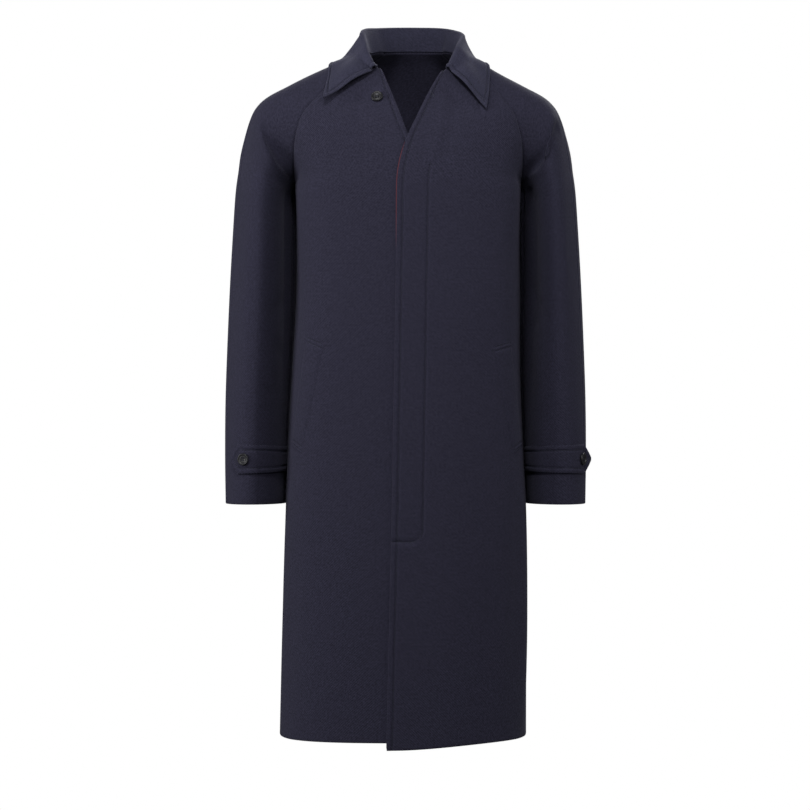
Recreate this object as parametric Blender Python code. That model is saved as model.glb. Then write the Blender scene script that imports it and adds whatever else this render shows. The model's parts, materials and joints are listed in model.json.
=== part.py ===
"""A knee-length raglan coat, in the hollow form that it has when it is worn.

Every panel is a wall of cloth on a grid of points. Each table below has one row for each section of
the coat, from the neck down, and a section is a smooth curve from one seam to the next. Panels that
are sewn together share the points and the directions of their seam, so their edges face each other
across a small gap. What lies on a panel is made from the panel's own points, moved out.

Sizes are in millimetres until a mesh is made. +X is the wearer's left, -Y is the front, +Z is up, and
the origin is at the base of the neck, between the shoulders that hold the coat.
"""
import math

import bmesh
import bpy
import numpy as np
from mathutils import Vector

MM = 0.001

# Thickness of the walls and the room left between them
CLOTH = 2.4
COLLAR_CLOTH = 3.0
SEAM_GAP = 0.3
LAP_GAP = 0.5
LYING_GAP = 0.9

# Edges that turn by more than this many degrees are drawn sharp
SHARP_ANGLE = 50.0

# Grid columns of the panels
FRONT_COLUMNS = 12
BACK_COLUMNS = 17
SLEEVE_COLUMNS = 10
DENSE_STEPS = 80

# The underarm is row 9 of every table; rows below it close up into the body and the two sleeves
UNDERARM_ROW = 9
FINE_ROWS = 11
FINE_STEP = 0.5

# The left front dips at its edge, and the lap offset fades out across the front
HEM_DIP = 11.0
HEM_DIP_WIDTH = 200.0
LAP_FULL_SHARE = 0.30
LAP_FADE_SHARE = 0.50

# Rows of the fronts and back that are evened out beside the armholes
SETTLE_FROM = 3
SETTLE_TO = 12.5
SETTLE_BLEND = 2.0
SETTLE_ROUNDS = 6
SETTLE_SEAM_SHARE = 0.30

# The share of a panel's width at each seam over which folds die out
FOLD_SEAM_SHARE = 0.15
FOLD_STEPS = 40

# How far below a row's points the middle stands that its walls face away from
BODY_MIDDLE_DROP = 60.0
SLEEVE_MIDDLE_DROP = 40.0

# The collar's roll, and where its ends stop short of the front edges
ROLL_RADIUS = 4.6
ROLL_STEPS = 4
FALL_STEPS = 6
STAND_STEPS = 2
COLLAR_END_COLUMN = 3
COLLAR_CLEARANCE = 2.0
COLLAR_FOOT_GAP = 0.45
FALL_BEND_DOWN = 0.40
REFINE = 4
LIFT_ROUNDS = 3

# Cuff tabs
STRAP_CLOTH = 2.2
STRAP_Z = -594.0
STRAP_HALF_WIDTH_BUTTON = 21.5
STRAP_HALF_WIDTH_SEAM = 17.5
STRAP_TIP_HALF_WIDTH = 2.5
STRAP_POINT_LENGTH = 15.0
STRAP_PAST_BUTTON = 26.0
STRAP_SEAM_START = 3.0
STRAP_ROWS = 5
STRAP_TIP_CLEAR = 2.0

# Buttons
BUTTON_RADIUS = 9.0
BUTTON_THICKNESS = 3.4
BUTTON_DISH = 1.0
BUTTON_RIM = 2.2
BUTTON_RIM_FALL = 0.2
BUTTON_DISH_SHARE = 0.8
BUTTON_EDGE_INSET = 1.1
BUTTON_EDGE_HEIGHT = 0.9
BUTTON_HOLE_RADIUS = 1.0
BUTTON_HOLE_PITCH = 1.9
BUTTON_SIDES = 20
BUTTON_HOLE_SIDES = 6
BUTTON_HOLE_DEPTH = 13.6
BUTTON_GAP = 1.0

# Pocket welts and piping
WELT_CLOTH = 1.8
WELT_STEPS_ALONG = 14
WELT_STEPS_ACROSS = 6
WELT_GAP = 1.3
PIPING_SIZE = 1.3
PIPING_TOP = -112.0
PIPING_BOTTOM = -400.0
PIPING_STEPS = 16
PIPING_SIDE_SHARE = 0.1


def table(names, *rows):
    """Named columns, each an array with one value for each row."""
    values = np.array(rows, dtype=float)
    return {name: values[:, index] for index, name in enumerate(names.split())}


# Fronts. x is measured from the coat's centre line, which stands at "middle"; the two edges are true x
FRONT = table(
    "middle centre_y centre_z left_edge right_edge seam_x seam_y seam_z turn rise centre_reach seam_reach",
    (12, -88, -14, 53, -36, 72, -42, 23, 57, 33, 36, 22),
    (10, -99, -36, 37, -24, 90, -50, 12, 50, 30, 46, 27),
    (8, -110, -58, 25, -13.5, 114, -60, -6, 46, 29, 58, 33),
    (6, -119, -79, 15, -5.5, 141, -78, -40, 46, 24, 76, 38),
    (4, -126, -99, 5.3, 2, 163, -85, -69, 53, 16, 92, 46),
    (4, -131, -119, -2.3, 12, 174, -75, -107, 64, 8, 102, 52),
    (4, -134, -138, -7, 20, 176, -58, -137, 74, 2, 111, 66),
    (4, -136.5, -153, -10, 25, 175.5, -41, -154, 81, -1, 119, 82),
    (4, -138, -164, -11, 29, 174.5, -22, -164, 86, -1, 127, 99),
    (4, -139, -174, -12, 31, 174, -4, -168, 90, 0, 133, 115),
    (4, -139.5, -186, -12, 33, 172, -4, -180, 96, 0, 131.5, 116),
    (4, -140, -200, -12, 34, 171, -4, -197, 95, 0, 131, 116),
    (4, -141, -262, -13, 35, 171.5, -4, -260, 92, 0, 132, 116.5),
    (4, -143, -350, -14.5, 35, 173, -4, -350, 90, 0, 134, 117),
    (1, -145, -450, -16, 35, 176, -4, -450, 90, 0, 135, 117),
    (0, -148, -560, -18, 34, 181, -4, -560, 90, 0, 136, 117),
    (0, -151, -680, -20, 33, 185.5, -3, -680, 90, 0, 138, 118),
    (-2, -155, -850, -24, 31, 188.5, -2, -850, 90, 0, 139, 119),
    (-4, -159, -1018, -28, 28, 190.5, 0, -1018, 90, 0, 140, 120),
)

# Back. The rows below the underarm end on the side seam, whose points the fronts give
BACK = table(
    "centre_y centre_z seam_x seam_y seam_z turn rise centre_reach seam_reach",
    (78, 44, 46, 59, 41, -42, -6, 26, 17),
    (92, 26, 74, 77, 19, -38, -14, 40, 24),
    (105, 0, 101, 92, -10, -36, -8, 56, 30),
    (116, -30, 125, 99, -39, -40, -6, 70, 36),
    (124, -64, 146, 94, -70, -48, -3, 86, 42),
    (129, -98, 161, 79, -101, -60, 0, 100, 54),
    (131, -128, 169, 60, -130, -72, 0, 109, 66),
    (131.5, -150, 173, 41, -150, -80, 0, 115, 78),
    (131, -164, 174, 20, -162, -86, 0, 125, 98),
    (130, -174, 174, -4, -168, -90, 0, 133, 113),
    (129.5, -186, 172, -4, -180, -90, 0, 131.5, 113),
    (129, -200, 171, -4, -197, -90, 0, 131, 112),
    (126, -262, 171.5, -4, -260, -90, 0, 130, 108),
    (122, -350, 173, -4, -350, -90, 0, 128, 100),
    (122, -450, 176, -4, -450, -90, 0, 128, 98),
    (126, -560, 181, -4, -560, -90, 0, 129, 98),
    (131, -680, 185.5, -3, -680, -90, 0, 128, 95),
    (138, -850, 188.5, -2, -850, -90, 0, 130, 98),
    (145, -1018, 190.5, 0, -1018, -90, 0, 132, 101),
)

# Sleeves. The overarm seam, and how the cloth leaves the inner seam and arrives at the overarm seam
OVERARM = table(
    "middle x y z cross_turn front_turn front_rise front_reach front_arrive"
    " back_turn back_rise back_reach back_arrive",
    (12, 68, 3, 34, 90, 80, 24, 16, 16, -82, 4, 22, 20),
    (6, 94, 0, 22.5, 90, 72, 32, 22, 20, -74, 20, 28, 26),
    (2, 124, -4, 10, 90, 62, 38, 28, 24, -62, 30, 34, 32),
    (0, 155, -7, -5, 90, 50, 42, 38, 34, -48, 36, 42, 40),
    (0, 186, -9, -21, 88, 28, 42, 48, 42, -24, 38, 52, 48),
    (0, 211, -10, -34, 86, 2, 38, 60, 52, 2, 36, 64, 58),
    (0, 228, -11, -48, 83, -25, 30, 74, 62, 30, 30, 80, 70),
    (0, 238, -12, -66, 80, -48, 20, 86, 74, 60, 20, 98, 86),
    (0, 244.5, -13, -91, 76, -66, 10, 95, 84, 74, 10, 106, 100),
    (0, 250.5, -14, -122, 73, -76, 4, 101, 91, 84, 4, 120, 112),
    (0, 254.5, -15, -150, 72, -72, 0, 104, 96, 108, 0, 126, 119),
    (0, 258.5, -16, -180, 72, -70, 0, 106, 100, 112, 0, 129, 123),
    (0, 262.5, -16, -240, 72, -70, 0, 106, 102, 111, 0, 132, 126),
    (0, 267, -17, -320, 72, -70, 0, 104, 102, 110, 0, 132, 126),
    (0, 271, -19, -411, 72, -72, 0, 100, 98, 108, 0, 130, 124),
    (0, 274, -24, -504, 72, -75, 0, 92, 90, 105, 0, 122, 118),
    (0, 275, -30, -590, 73, -76, 0, 82, 80, 104, 0, 112, 110),
    (0, 274.5, -34, -662, 74, -77, 0, 76, 74, 103, 0, 104, 102),
)

# The underarm seam below the armpit, one row for each row of the overarm table past the underarm
UNDERARM = table(
    "middle x y z",
    (4, 178.5, -2, -177),
    (4, 179.5, 2, -194),
    (4, 179, 8, -250),
    (4, 179, 12, -330),
    (1.9, 179.6, 12, -420),
    (0.4, 183, 6, -510),
    (0, 185.8, -4, -592),
    (0, 188.2, -9, -662),
)

# Collar, from the centre back to the front end, as shares of half the neck seam. Full is how far the
# fall bows out, as a share of its depth
COLLAR_NAMES = "share roll_x roll_y roll_z edge_x edge_y edge_z full"
COLLAR_LEFT = table(
    COLLAR_NAMES,
    (0.00, 12, 84, 84, 6, 107, 17, 0.12),
    (0.25, 62, 64, 80, 86, 82, 15, 0.15),
    (0.56, 87, 4, 65, 117, 0, 17, 0.25),
    (0.78, 77, -43, 41, 127, -66, -17, 0.14),
    (1.00, 65, -77, 8, 122, -106, -62, 0.06),
)
COLLAR_RIGHT = table(
    COLLAR_NAMES,
    (0.00, -12, 84, 84, -6, 107, 17, 0.12),
    (0.25, 38, 64, 81, 76, 82, 15, 0.18),
    (0.56, 65, 4, 71, 109, 0, 17, 0.40),
    (0.78, 60, -43, 43, 118, -62, -10, 0.22),
    (1.00, 51, -77, 8, 125, -104, -46, 0.06),
)

# Largest folds: a line across a panel from one row and column share to another
FOLD_NAMES = "from_row from_share to_row to_share depth width"
FOLDS = {
    "sleeve_front_left": table(
        FOLD_NAMES,
        (7.3, 0.06, 7.8, 0.90, -4.5, 12),
        (6.7, 0.10, 6.2, 0.75, 3.0, 15),
    ),
    "sleeve_front_right": table(
        FOLD_NAMES,
        (6.8, 0.06, 6.3, 0.85, -3.0, 14),
        (7.8, 0.10, 8.2, 0.80, 2.5, 18),
    ),
    "front_left": table(FOLD_NAMES, (15.5, 0.86, 18.0, 0.80, 5.0, 24)),
}

# Pocket welts: true x and z of the corners, the top edge first
WELT_NAMES = "inner_x inner_z outer_x outer_z"
WELTS = {
    1: table(WELT_NAMES, (133, -423, 160, -414), (163, -585, 179, -573)),
    -1: table(WELT_NAMES, (124, -419, 151, -406), (158, -583, 174, -571)),
}

# Cuff tabs: true x of the button, and how far the point of the tab stands off the sleeve
STRAPS = {1: {"button_x": 268.0, "tip_lift": 7.0}, -1: {"button_x": 246.0, "tip_lift": 1.0}}
NECK_BUTTON_X = -43.0
NECK_BUTTON_Z = -43.0

# Finishes: base colour, roughness and metallic value
NAVY_WOOL = ((0.020, 0.021, 0.036, 1.0), 0.90, 0.0)
WINE_CORD = ((0.110, 0.012, 0.022, 1.0), 0.75, 0.0)
DARK_HORN = ((0.012, 0.012, 0.015, 1.0), 0.35, 0.0)


def along(column, stations):
    """Values of a column at fractional rows, on a smooth curve through its rows."""
    last = len(column) - 1
    padded = np.concatenate(([2 * column[0] - column[1]], column, [2 * column[-1] - column[-2]]))
    low = np.clip(np.floor(stations).astype(int), 0, last - 1)
    step = stations - low
    before, start, end, after = (padded[low + offset] for offset in range(4))
    curve = 2 * before - 5 * start + 4 * end - after
    twist = 3 * start - before - 3 * end + after
    return 0.5 * (2 * start + (end - before) * step + curve * step**2 + twist * step**3)


def stations_to(last_row):
    """Close rows round the shoulders and armpits, and the table's own rows below."""
    upper = np.arange(0, FINE_ROWS + FINE_STEP, FINE_STEP)
    return np.concatenate((upper, np.arange(FINE_ROWS + 1, last_row + 1)))


def spread(source, names, stations):
    """Columns of a table at the stations, stacked as points or vectors."""
    return np.stack([along(source[name], stations) for name in names.split()], axis=-1)


def seam_points(source, stations):
    """Points of the raglan seam and of the side seam, which meet in a corner at the underarm."""
    upper = {name: column[: UNDERARM_ROW + 1] for name, column in source.items()}
    lower = {name: column[UNDERARM_ROW:] for name, column in source.items()}
    names = "seam_x seam_y seam_z"
    above = spread(upper, names, stations[stations <= UNDERARM_ROW])
    below = spread(lower, names, stations[stations > UNDERARM_ROW] - UNDERARM_ROW)
    return np.concatenate((above, below))


def heading(turn, rise, reach):
    """A vector from its plan angle, its slope (both in degrees) and its length."""
    turn = np.radians(turn)
    rise = np.radians(rise)
    flat = np.cos(rise)
    direction = np.stack((flat * np.cos(turn), flat * np.sin(turn), np.sin(rise)), axis=-1)
    return direction * reach[:, None]


def unit(vectors):
    """Vectors scaled to length one."""
    return vectors / np.linalg.norm(vectors, axis=-1, keepdims=True)


def smooth(value):
    """An easing from 0 to 1."""
    value = np.clip(value, 0.0, 1.0)
    return value * value * (3 - 2 * value)


def curve_rows(start, start_arm, end_arm, end):
    """A dense cubic curve for each row, from its two ends and the arms that leave them."""
    share = np.linspace(0, 1, DENSE_STEPS)[None, :, None]
    first = (start + start_arm)[:, None]
    second = (end + end_arm)[:, None]
    near = start[:, None] * (1 - share) ** 3 + 3 * first * share * (1 - share) ** 2
    return near + 3 * second * share**2 * (1 - share) + end[:, None] * share**3


def even_points(line, count, begin=0.0):
    """Evenly spaced points of a polyline, from a distance along it to its end."""
    lengths = np.concatenate(([0], np.cumsum(np.linalg.norm(np.diff(line, axis=0), axis=1))))
    wanted = np.linspace(begin, lengths[-1], count)
    return np.stack([np.interp(wanted, lengths, line[:, axis]) for axis in range(3)], axis=-1)


def even_grid(lines, count):
    """Each row of dense curves as evenly spaced points."""
    return np.array([even_points(line, count) for line in lines])


def settle(grid, from_seam, stations):
    """Even out the rows beside the armholes, less and less towards the seam, as hanging cloth does."""
    hold = smooth(from_seam / SETTLE_SEAM_SHARE)[None, :, None]
    near = smooth((stations - SETTLE_FROM) / SETTLE_BLEND) * smooth((SETTLE_TO - stations) / SETTLE_BLEND)
    near = near[1:-1, None, None]
    for _ in range(SETTLE_ROUNDS):
        even = (grid[:-2] + 2 * grid[1:-1] + grid[2:]) / 4
        grid[1:-1] += (even - grid[1:-1]) * hold * near
    return grid


def front_grid(side):
    """Outer points of a front, a row for each section, from its edge to its side or raglan seam."""
    stations = stations_to(len(FRONT["turn"]) - 1)
    row = {name: along(column, stations) for name, column in FRONT.items()}
    middle = side * row["middle"]
    edge = side * (row["left_edge"] if side > 0 else row["right_edge"])
    centre = np.stack((middle, row["centre_y"], row["centre_z"]), axis=-1)
    seam = seam_points(FRONT, stations)
    seam[:, 0] += middle
    level = np.zeros(len(stations))
    start_arm = heading(level, level, row["centre_reach"])
    end_arm = -heading(row["turn"], row["rise"], row["seam_reach"])
    lines = curve_rows(centre, start_arm, end_arm, seam)
    grid = []
    for index, line in enumerate(lines):
        beyond = line[:0:-1] * (-1, 1, 1) + (2 * middle[index], 0, 0)
        line = np.concatenate((beyond, line))
        lengths = np.concatenate(([0], np.cumsum(np.linalg.norm(np.diff(line, axis=0), axis=1))))
        begin = np.interp(edge[index], line[:, 0], lengths)
        points = even_points(line, FRONT_COLUMNS, begin)
        share = np.linspace(0, 1, FRONT_COLUMNS)
        fade = 1 - smooth((share - LAP_FULL_SHARE) / LAP_FADE_SHARE)
        points[:, 1] -= side * fade * (CLOTH + LAP_GAP) / 2
        grid.append(points)
    grid = settle(np.array(grid), np.linspace(1, 0, FRONT_COLUMNS), stations)
    if side > 0:
        from_edge = grid[-1, :, 0] - grid[-1, 0, 0]
        grid[-1, :, 2] -= HEM_DIP * (1 - smooth(from_edge / HEM_DIP_WIDTH))
    return grid * (side, 1, 1)


def back_grid():
    """Outer points of the back, from the right seam across to the left seam."""
    stations = stations_to(len(BACK["turn"]) - 1)
    row = {name: along(column, stations) for name, column in BACK.items()}
    middle = along(FRONT["middle"], stations)
    half_columns = BACK_COLUMNS // 2 + 1
    halves = {}
    for side in (-1, 1):
        centre = np.stack((side * middle, row["centre_y"], row["centre_z"]), axis=-1)
        seam = seam_points(BACK, stations)
        seam[:, 0] += side * middle
        level = np.zeros(len(stations))
        start_arm = heading(level, level, row["centre_reach"])
        end_arm = -heading(row["turn"], row["rise"], row["seam_reach"])
        lines = curve_rows(centre, start_arm, end_arm, seam)
        halves[side] = even_grid(lines, half_columns) * (side, 1, 1)
    grid = np.concatenate((halves[-1][:, ::-1], halves[1][:, 1:]), axis=1)
    return settle(grid, 1 - np.abs(np.linspace(-1, 1, grid.shape[1])), stations)


def sleeve_grids(side):
    """Outer points of the front and back of a sleeve, from the inner seam to the overarm seam."""
    stations = stations_to(len(OVERARM["x"]) - 1)
    row = {name: along(column, stations) for name, column in OVERARM.items()}
    overarm = np.stack((side * row["middle"] + row["x"], row["y"], row["z"]), axis=-1)
    upper = stations <= UNDERARM_ROW
    middle = along(FRONT["middle"], stations[upper])
    below = {}
    for name in UNDERARM:
        armpit = FRONT["middle" if name == "middle" else "seam_" + name][UNDERARM_ROW]
        column = np.concatenate(([armpit], UNDERARM[name]))
        below[name] = along(column, stations[~upper] - UNDERARM_ROW)
    lower = np.stack((side * below["middle"] + below["x"], below["y"], below["z"]), axis=-1)
    flat = np.zeros(len(stations))
    grids = []
    for source, part in ((FRONT, "front"), (BACK, "back")):
        seam = seam_points(source, stations[upper])
        seam[:, 0] += side * middle
        inner = np.concatenate((seam, lower))
        leave = heading(row[part + "_turn"], row[part + "_rise"], row[part + "_reach"])
        cross = heading(row["cross_turn"], flat, row[part + "_arrive"])
        arrive = -cross if part == "front" else cross
        lines = curve_rows(inner, leave, arrive, overarm)
        grids.append(even_grid(lines, SLEEVE_COLUMNS) * (side, 1, 1))
    return grids


def grid_normals(grid, middle):
    """Directions out of a grid, away from the line of middle points given for its rows."""
    across = np.gradient(grid, axis=1)
    down = np.gradient(grid, axis=0)
    normals = unit(np.cross(across, down))
    outward = np.sum(normals * (grid - middle[:, None]), axis=-1)
    return normals * (1 if outward.mean() > 0 else -1)


def grid_at(grid, row, share):
    """A point of a grid at a fractional row and a share of its columns, between its four neighbours."""
    column = share * (grid.shape[1] - 1)
    low_row = min(int(row), grid.shape[0] - 2)
    low_column = min(int(column), grid.shape[1] - 2)
    down = row - low_row
    right = column - low_column
    near = grid[low_row, low_column] * (1 - right) + grid[low_row, low_column + 1] * right
    far = grid[low_row + 1, low_column] * (1 - right) + grid[low_row + 1, low_column + 1] * right
    return near * (1 - down) + far * down


def add_folds(grid, normals, folds, stations):
    """Raise or sink a grid along its fold lines, softly across, towards both ends and at its seams."""
    moved = grid.copy()
    columns = np.linspace(0, 1, grid.shape[1])
    held = smooth(np.minimum(columns, 1 - columns) / FOLD_SEAM_SHARE)
    for index in range(len(folds["depth"])):
        fold = {name: column[index] for name, column in folds.items()}
        steps = np.linspace(0, 1, FOLD_STEPS)
        rows = fold["from_row"] + (fold["to_row"] - fold["from_row"]) * steps
        shares = fold["from_share"] + (fold["to_share"] - fold["from_share"]) * steps
        places = np.interp(rows, stations, np.arange(len(stations)))
        line = np.array([grid_at(grid, place, share) for place, share in zip(places, shares)])
        away = np.linalg.norm(grid[:, :, None] - line, axis=-1)
        nearest = away.argmin(axis=-1)
        strength = np.sin(np.pi * np.clip(steps[nearest], 0, 1)) ** 0.5
        height = fold["depth"] * held * strength * np.exp(-((away.min(axis=-1) / fold["width"]) ** 2))
        moved += normals * height[..., None]
    return moved


def share_seam(*borders):
    """Give the borders that meet in a seam one common direction."""
    common = unit(sum(borders))
    for border in borders:
        border[...] = common


def pull_back(grid, normals, column=None, row=None):
    """Move a border of a grid back from its seam by half the seam gap."""
    if column is not None:
        edge = grid[:, column]
        inside = grid[:, 1 if column == 0 else -2]
        facing = normals[:, column]
    else:
        edge = grid[row]
        inside = grid[1 if row == 0 else -2]
        facing = normals[row]
    run = unit(np.gradient(edge, axis=0))
    step = inside - edge
    step = step - np.sum(step * facing, axis=-1, keepdims=True) * facing
    step = step - np.sum(step * run, axis=-1, keepdims=True) * run
    edge += unit(step) * SEAM_GAP / 2


def finish_material(name, finish):
    """A Principled material with the piece's colour, roughness and metallic value."""
    colour, roughness, metallic = finish
    material = bpy.data.materials.new(name)
    material.use_nodes = True
    shader = material.node_tree.nodes["Principled BSDF"]
    shader.inputs["Base Color"].default_value = colour
    shader.inputs["Roughness"].default_value = roughness
    shader.inputs["Metallic"].default_value = metallic
    return material


def add_mesh(name, vertices, faces, finish, collection):
    """One closed mesh object, from points in millimetres, with its faces turned outward."""
    mesh = bpy.data.meshes.new(name)
    mesh.from_pydata((np.asarray(vertices) * MM).tolist(), [], faces)
    shape = bmesh.new()
    shape.from_mesh(mesh)
    bmesh.ops.recalc_face_normals(shape, faces=shape.faces)
    shape.to_mesh(mesh)
    shape.free()
    mesh.shade_smooth()
    mesh.set_sharp_from_angle(angle=math.radians(SHARP_ANGLE))
    mesh.materials.append(finish_material(name + "_finish", finish))
    piece = bpy.data.objects.new(name, mesh)
    collection.objects.link(piece)
    return piece


def add_wall(name, outer, inner, finish, collection):
    """A wall of cloth between two grids of points."""
    rows, columns = outer.shape[:2]
    count = rows * columns
    index = np.arange(count).reshape(rows, columns)
    faces = []
    for row in range(rows - 1):
        for column in range(columns - 1):
            corners = (index[row, column], index[row, column + 1])
            corners += (index[row + 1, column + 1], index[row + 1, column])
            faces.append([int(corner) for corner in corners])
            faces.append([int(corner + count) for corner in reversed(corners)])
    rim = list(index[0]) + list(index[1:, -1]) + list(index[-1, -2::-1]) + list(index[-2:0:-1, 0])
    for near, far in zip(rim, rim[1:] + rim[:1]):
        faces.append([int(near), int(near + count), int(far + count), int(far)])
    vertices = np.concatenate((outer.reshape(-1, 3), inner.reshape(-1, 3)))
    return add_mesh(name, vertices, faces, finish, collection)


def panel_grids():
    """Outer points and directions of all the panels, with their seams shared and pulled back."""
    body_stations = stations_to(len(FRONT["turn"]) - 1)
    sleeve_stations = stations_to(len(OVERARM["x"]) - 1)
    grids = {"front_left": front_grid(1), "front_right": front_grid(-1), "back": back_grid()}
    for side, word in ((1, "left"), (-1, "right")):
        grids["sleeve_front_" + word], grids["sleeve_back_" + word] = sleeve_grids(side)
    body_middle = np.zeros((len(body_stations), 3))
    body_middle[:, 0] = along(FRONT["middle"], body_stations)
    body_middle[:, 2] = grids["back"][:, BACK_COLUMNS // 2, 2] - BODY_MIDDLE_DROP
    normals = {}
    for name, grid in grids.items():
        if name.startswith("sleeve"):
            word = name.rsplit("_", 1)[1]
            both = np.concatenate((grids["sleeve_front_" + word], grids["sleeve_back_" + word]), axis=1)
            middle = both.mean(axis=1)
            middle[sleeve_stations < UNDERARM_ROW, 2] -= SLEEVE_MIDDLE_DROP
        else:
            middle = body_middle
        normals[name] = grid_normals(grid, middle)
        if name in FOLDS:
            stations = sleeve_stations if name.startswith("sleeve") else body_stations
            grids[name] = add_folds(grid, normals[name], FOLDS[name], stations)
            normals[name] = grid_normals(grids[name], middle)
    armpit = int(np.searchsorted(body_stations, UNDERARM_ROW))
    for word, back_column in (("left", -1), ("right", 0)):
        front = normals["front_" + word][:, -1]
        back = normals["back"][:, back_column]
        sleeve_front = normals["sleeve_front_" + word]
        sleeve_back = normals["sleeve_back_" + word]
        share_seam(front[:armpit], sleeve_front[:armpit, 0])
        share_seam(back[:armpit], sleeve_back[:armpit, 0])
        share_seam(front[armpit + 1:], back[armpit + 1:])
        share_seam(sleeve_front[armpit + 1:, 0], sleeve_back[armpit + 1:, 0])
        share_seam(front[armpit], back[armpit], sleeve_front[armpit, 0], sleeve_back[armpit, 0])
        share_seam(sleeve_front[:, -1], sleeve_back[:, -1])
        pull_back(grids["front_" + word], normals["front_" + word], column=-1)
        for name in ("sleeve_front_" + word, "sleeve_back_" + word):
            pull_back(grids[name], normals[name], column=0)
            pull_back(grids[name], normals[name], column=-1)
    pull_back(grids["back"], normals["back"], column=0)
    pull_back(grids["back"], normals["back"], column=-1)
    return grids, normals


def neck_seam(grids):
    """Points of the neck seam, from the right front round the back to the left front."""
    right_front = grids["front_right"][0, COLLAR_END_COLUMN::2]
    left_front = grids["front_left"][0, COLLAR_END_COLUMN::2]
    stretches = [
        right_front,
        grids["sleeve_front_right"][0, 1:-1:2],
        grids["sleeve_back_right"][0, ::-2],
        grids["back"][0, 1:-1:2],
        grids["sleeve_back_left"][0, ::2],
        grids["sleeve_front_left"][0, -2:0:-2],
        left_front[::-1],
    ]
    return np.concatenate(stretches)


def collar_walls(grids, normals):
    """Outer and inner points of the collar's stand and of its fall."""
    seam = neck_seam(grids)
    lengths = np.concatenate(([0], np.cumsum(np.linalg.norm(np.diff(seam, axis=0), axis=1))))
    behind = slice(len(seam) // 4, -len(seam) // 4)
    centre_back = np.interp(FRONT["middle"][0], seam[behind, 0], lengths[behind])
    roll = np.zeros_like(seam)
    edge = np.zeros_like(seam)
    full = np.zeros((len(seam), 1))
    for index, length in enumerate(lengths):
        side = 1 if length > centre_back else -1
        half = lengths[-1] - centre_back if side > 0 else centre_back
        rows = COLLAR_LEFT if side > 0 else COLLAR_RIGHT
        place = np.interp(abs(length - centre_back) / half, rows["share"], np.arange(len(rows["share"])))
        place = np.array([place])
        roll[index] = spread(rows, "roll_x roll_y roll_z", place)[0] * (side, 1, 1)
        edge[index] = spread(rows, "edge_x edge_y edge_z", place)[0] * (side, 1, 1)
        full[index] = along(rows["full"], place)
    run = unit(np.gradient(seam, axis=0))
    rise = unit(roll - seam)
    out = unit(np.cross(rise, run))
    away = np.sum(out[:, :2] * (seam[:, :2] - (FRONT["middle"][0], 0)), axis=-1)
    out = out * np.sign(away.mean())
    up = unit(np.cross(run, out))
    up = up * np.sign(np.sum(up * rise, axis=-1))[:, None]
    foot = seam + up * COLLAR_FOOT_GAP
    crown = roll - up * ROLL_RADIUS
    stand_outer = np.stack([foot + (crown - foot) * step for step in np.linspace(0, 1, STAND_STEPS + 1)])
    stand_inner = stand_outer - out * CLOTH
    start = crown - out * CLOTH + up * SEAM_GAP
    centre = start + out * ROLL_RADIUS
    face = []
    lining = []
    for step in np.linspace(0, 1, ROLL_STEPS + 1):
        spoke = -out * math.cos(math.pi * step) + up * math.sin(math.pi * step)
        face.append(centre + spoke * ROLL_RADIUS)
        lining.append(centre + spoke * (ROLL_RADIUS - COLLAR_CLOTH))
    top = face[-1]
    drop = np.linalg.norm(edge - top, axis=-1, keepdims=True)
    bend = top + (out * full - up * FALL_BEND_DOWN) * drop
    fall = [top * (1 - s) ** 2 + 2 * bend * s * (1 - s) + edge * s**2
            for s in np.linspace(0, 1, FALL_STEPS + 1)[1:]]
    fall = lift_clear(np.array(fall), grids, normals, COLLAR_CLOTH + COLLAR_CLEARANCE)
    fall_grid = np.concatenate((top[None], fall))
    neck_middle = np.zeros((len(fall_grid), 3))
    neck_middle[:, 0] = FRONT["middle"][0]
    fall_normals = grid_normals(fall_grid, neck_middle)
    fall_normals[0] = out
    face += list(fall)
    lining += list(fall_grid[1:] - fall_normals[1:] * COLLAR_CLOTH)
    return (stand_outer, stand_inner), (np.array(face), np.array(lining))


def finer(grid):
    """A grid with extra rows and columns between its own."""
    for axis in (0, 1):
        count = grid.shape[axis]
        places = np.linspace(0, count - 1, REFINE * (count - 1) + 1)
        low = np.minimum(places.astype(int), count - 2)
        step = places - low
        step = step[:, None, None] if axis == 0 else step[None, :, None]
        grid = np.take(grid, low, axis=axis) * (1 - step) + np.take(grid, low + 1, axis=axis) * step
    return grid


def lift_clear(points, grids, normals, clearance):
    """Move points out of the panels until each is clear of the cloth that is nearest to it."""
    cloth = np.concatenate([finer(grid).reshape(-1, 3) for grid in grids.values()])
    facing = unit(np.concatenate([finer(normal).reshape(-1, 3) for normal in normals.values()]))
    lifted = points.copy()
    for place in np.ndindex(points.shape[:-1]):
        for _ in range(LIFT_ROUNDS):
            nearest = np.sum((cloth - lifted[place]) ** 2, axis=-1).argmin()
            height = np.dot(lifted[place] - cloth[nearest], facing[nearest])
            lifted[place] += max(0.0, clearance - height) * facing[nearest]
    return lifted


def level_line(grid, height):
    """The polyline that a grid's columns make at one height."""
    points = []
    for column in range(grid.shape[1]):
        line = grid[::-1, column]
        points.append([np.interp(height, line[:, 2], line[:, axis]) for axis in range(3)])
    return np.array(points)


def lying_point(grid, normals, x, height):
    """A point of a front at true x and height, with the direction out of the cloth there."""
    levels = level_line(grid, height)
    order = np.argsort(levels[:, 0])
    rows = [np.interp(height, grid[::-1, column, 2], np.arange(len(grid))[::-1])
            for column in range(grid.shape[1])]
    column = np.interp(x, levels[order, 0], order)
    share = column / (grid.shape[1] - 1)
    row = np.interp(column, np.arange(grid.shape[1]), rows)
    return grid_at(grid, row, share), unit(grid_at(normals, row, share))


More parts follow.
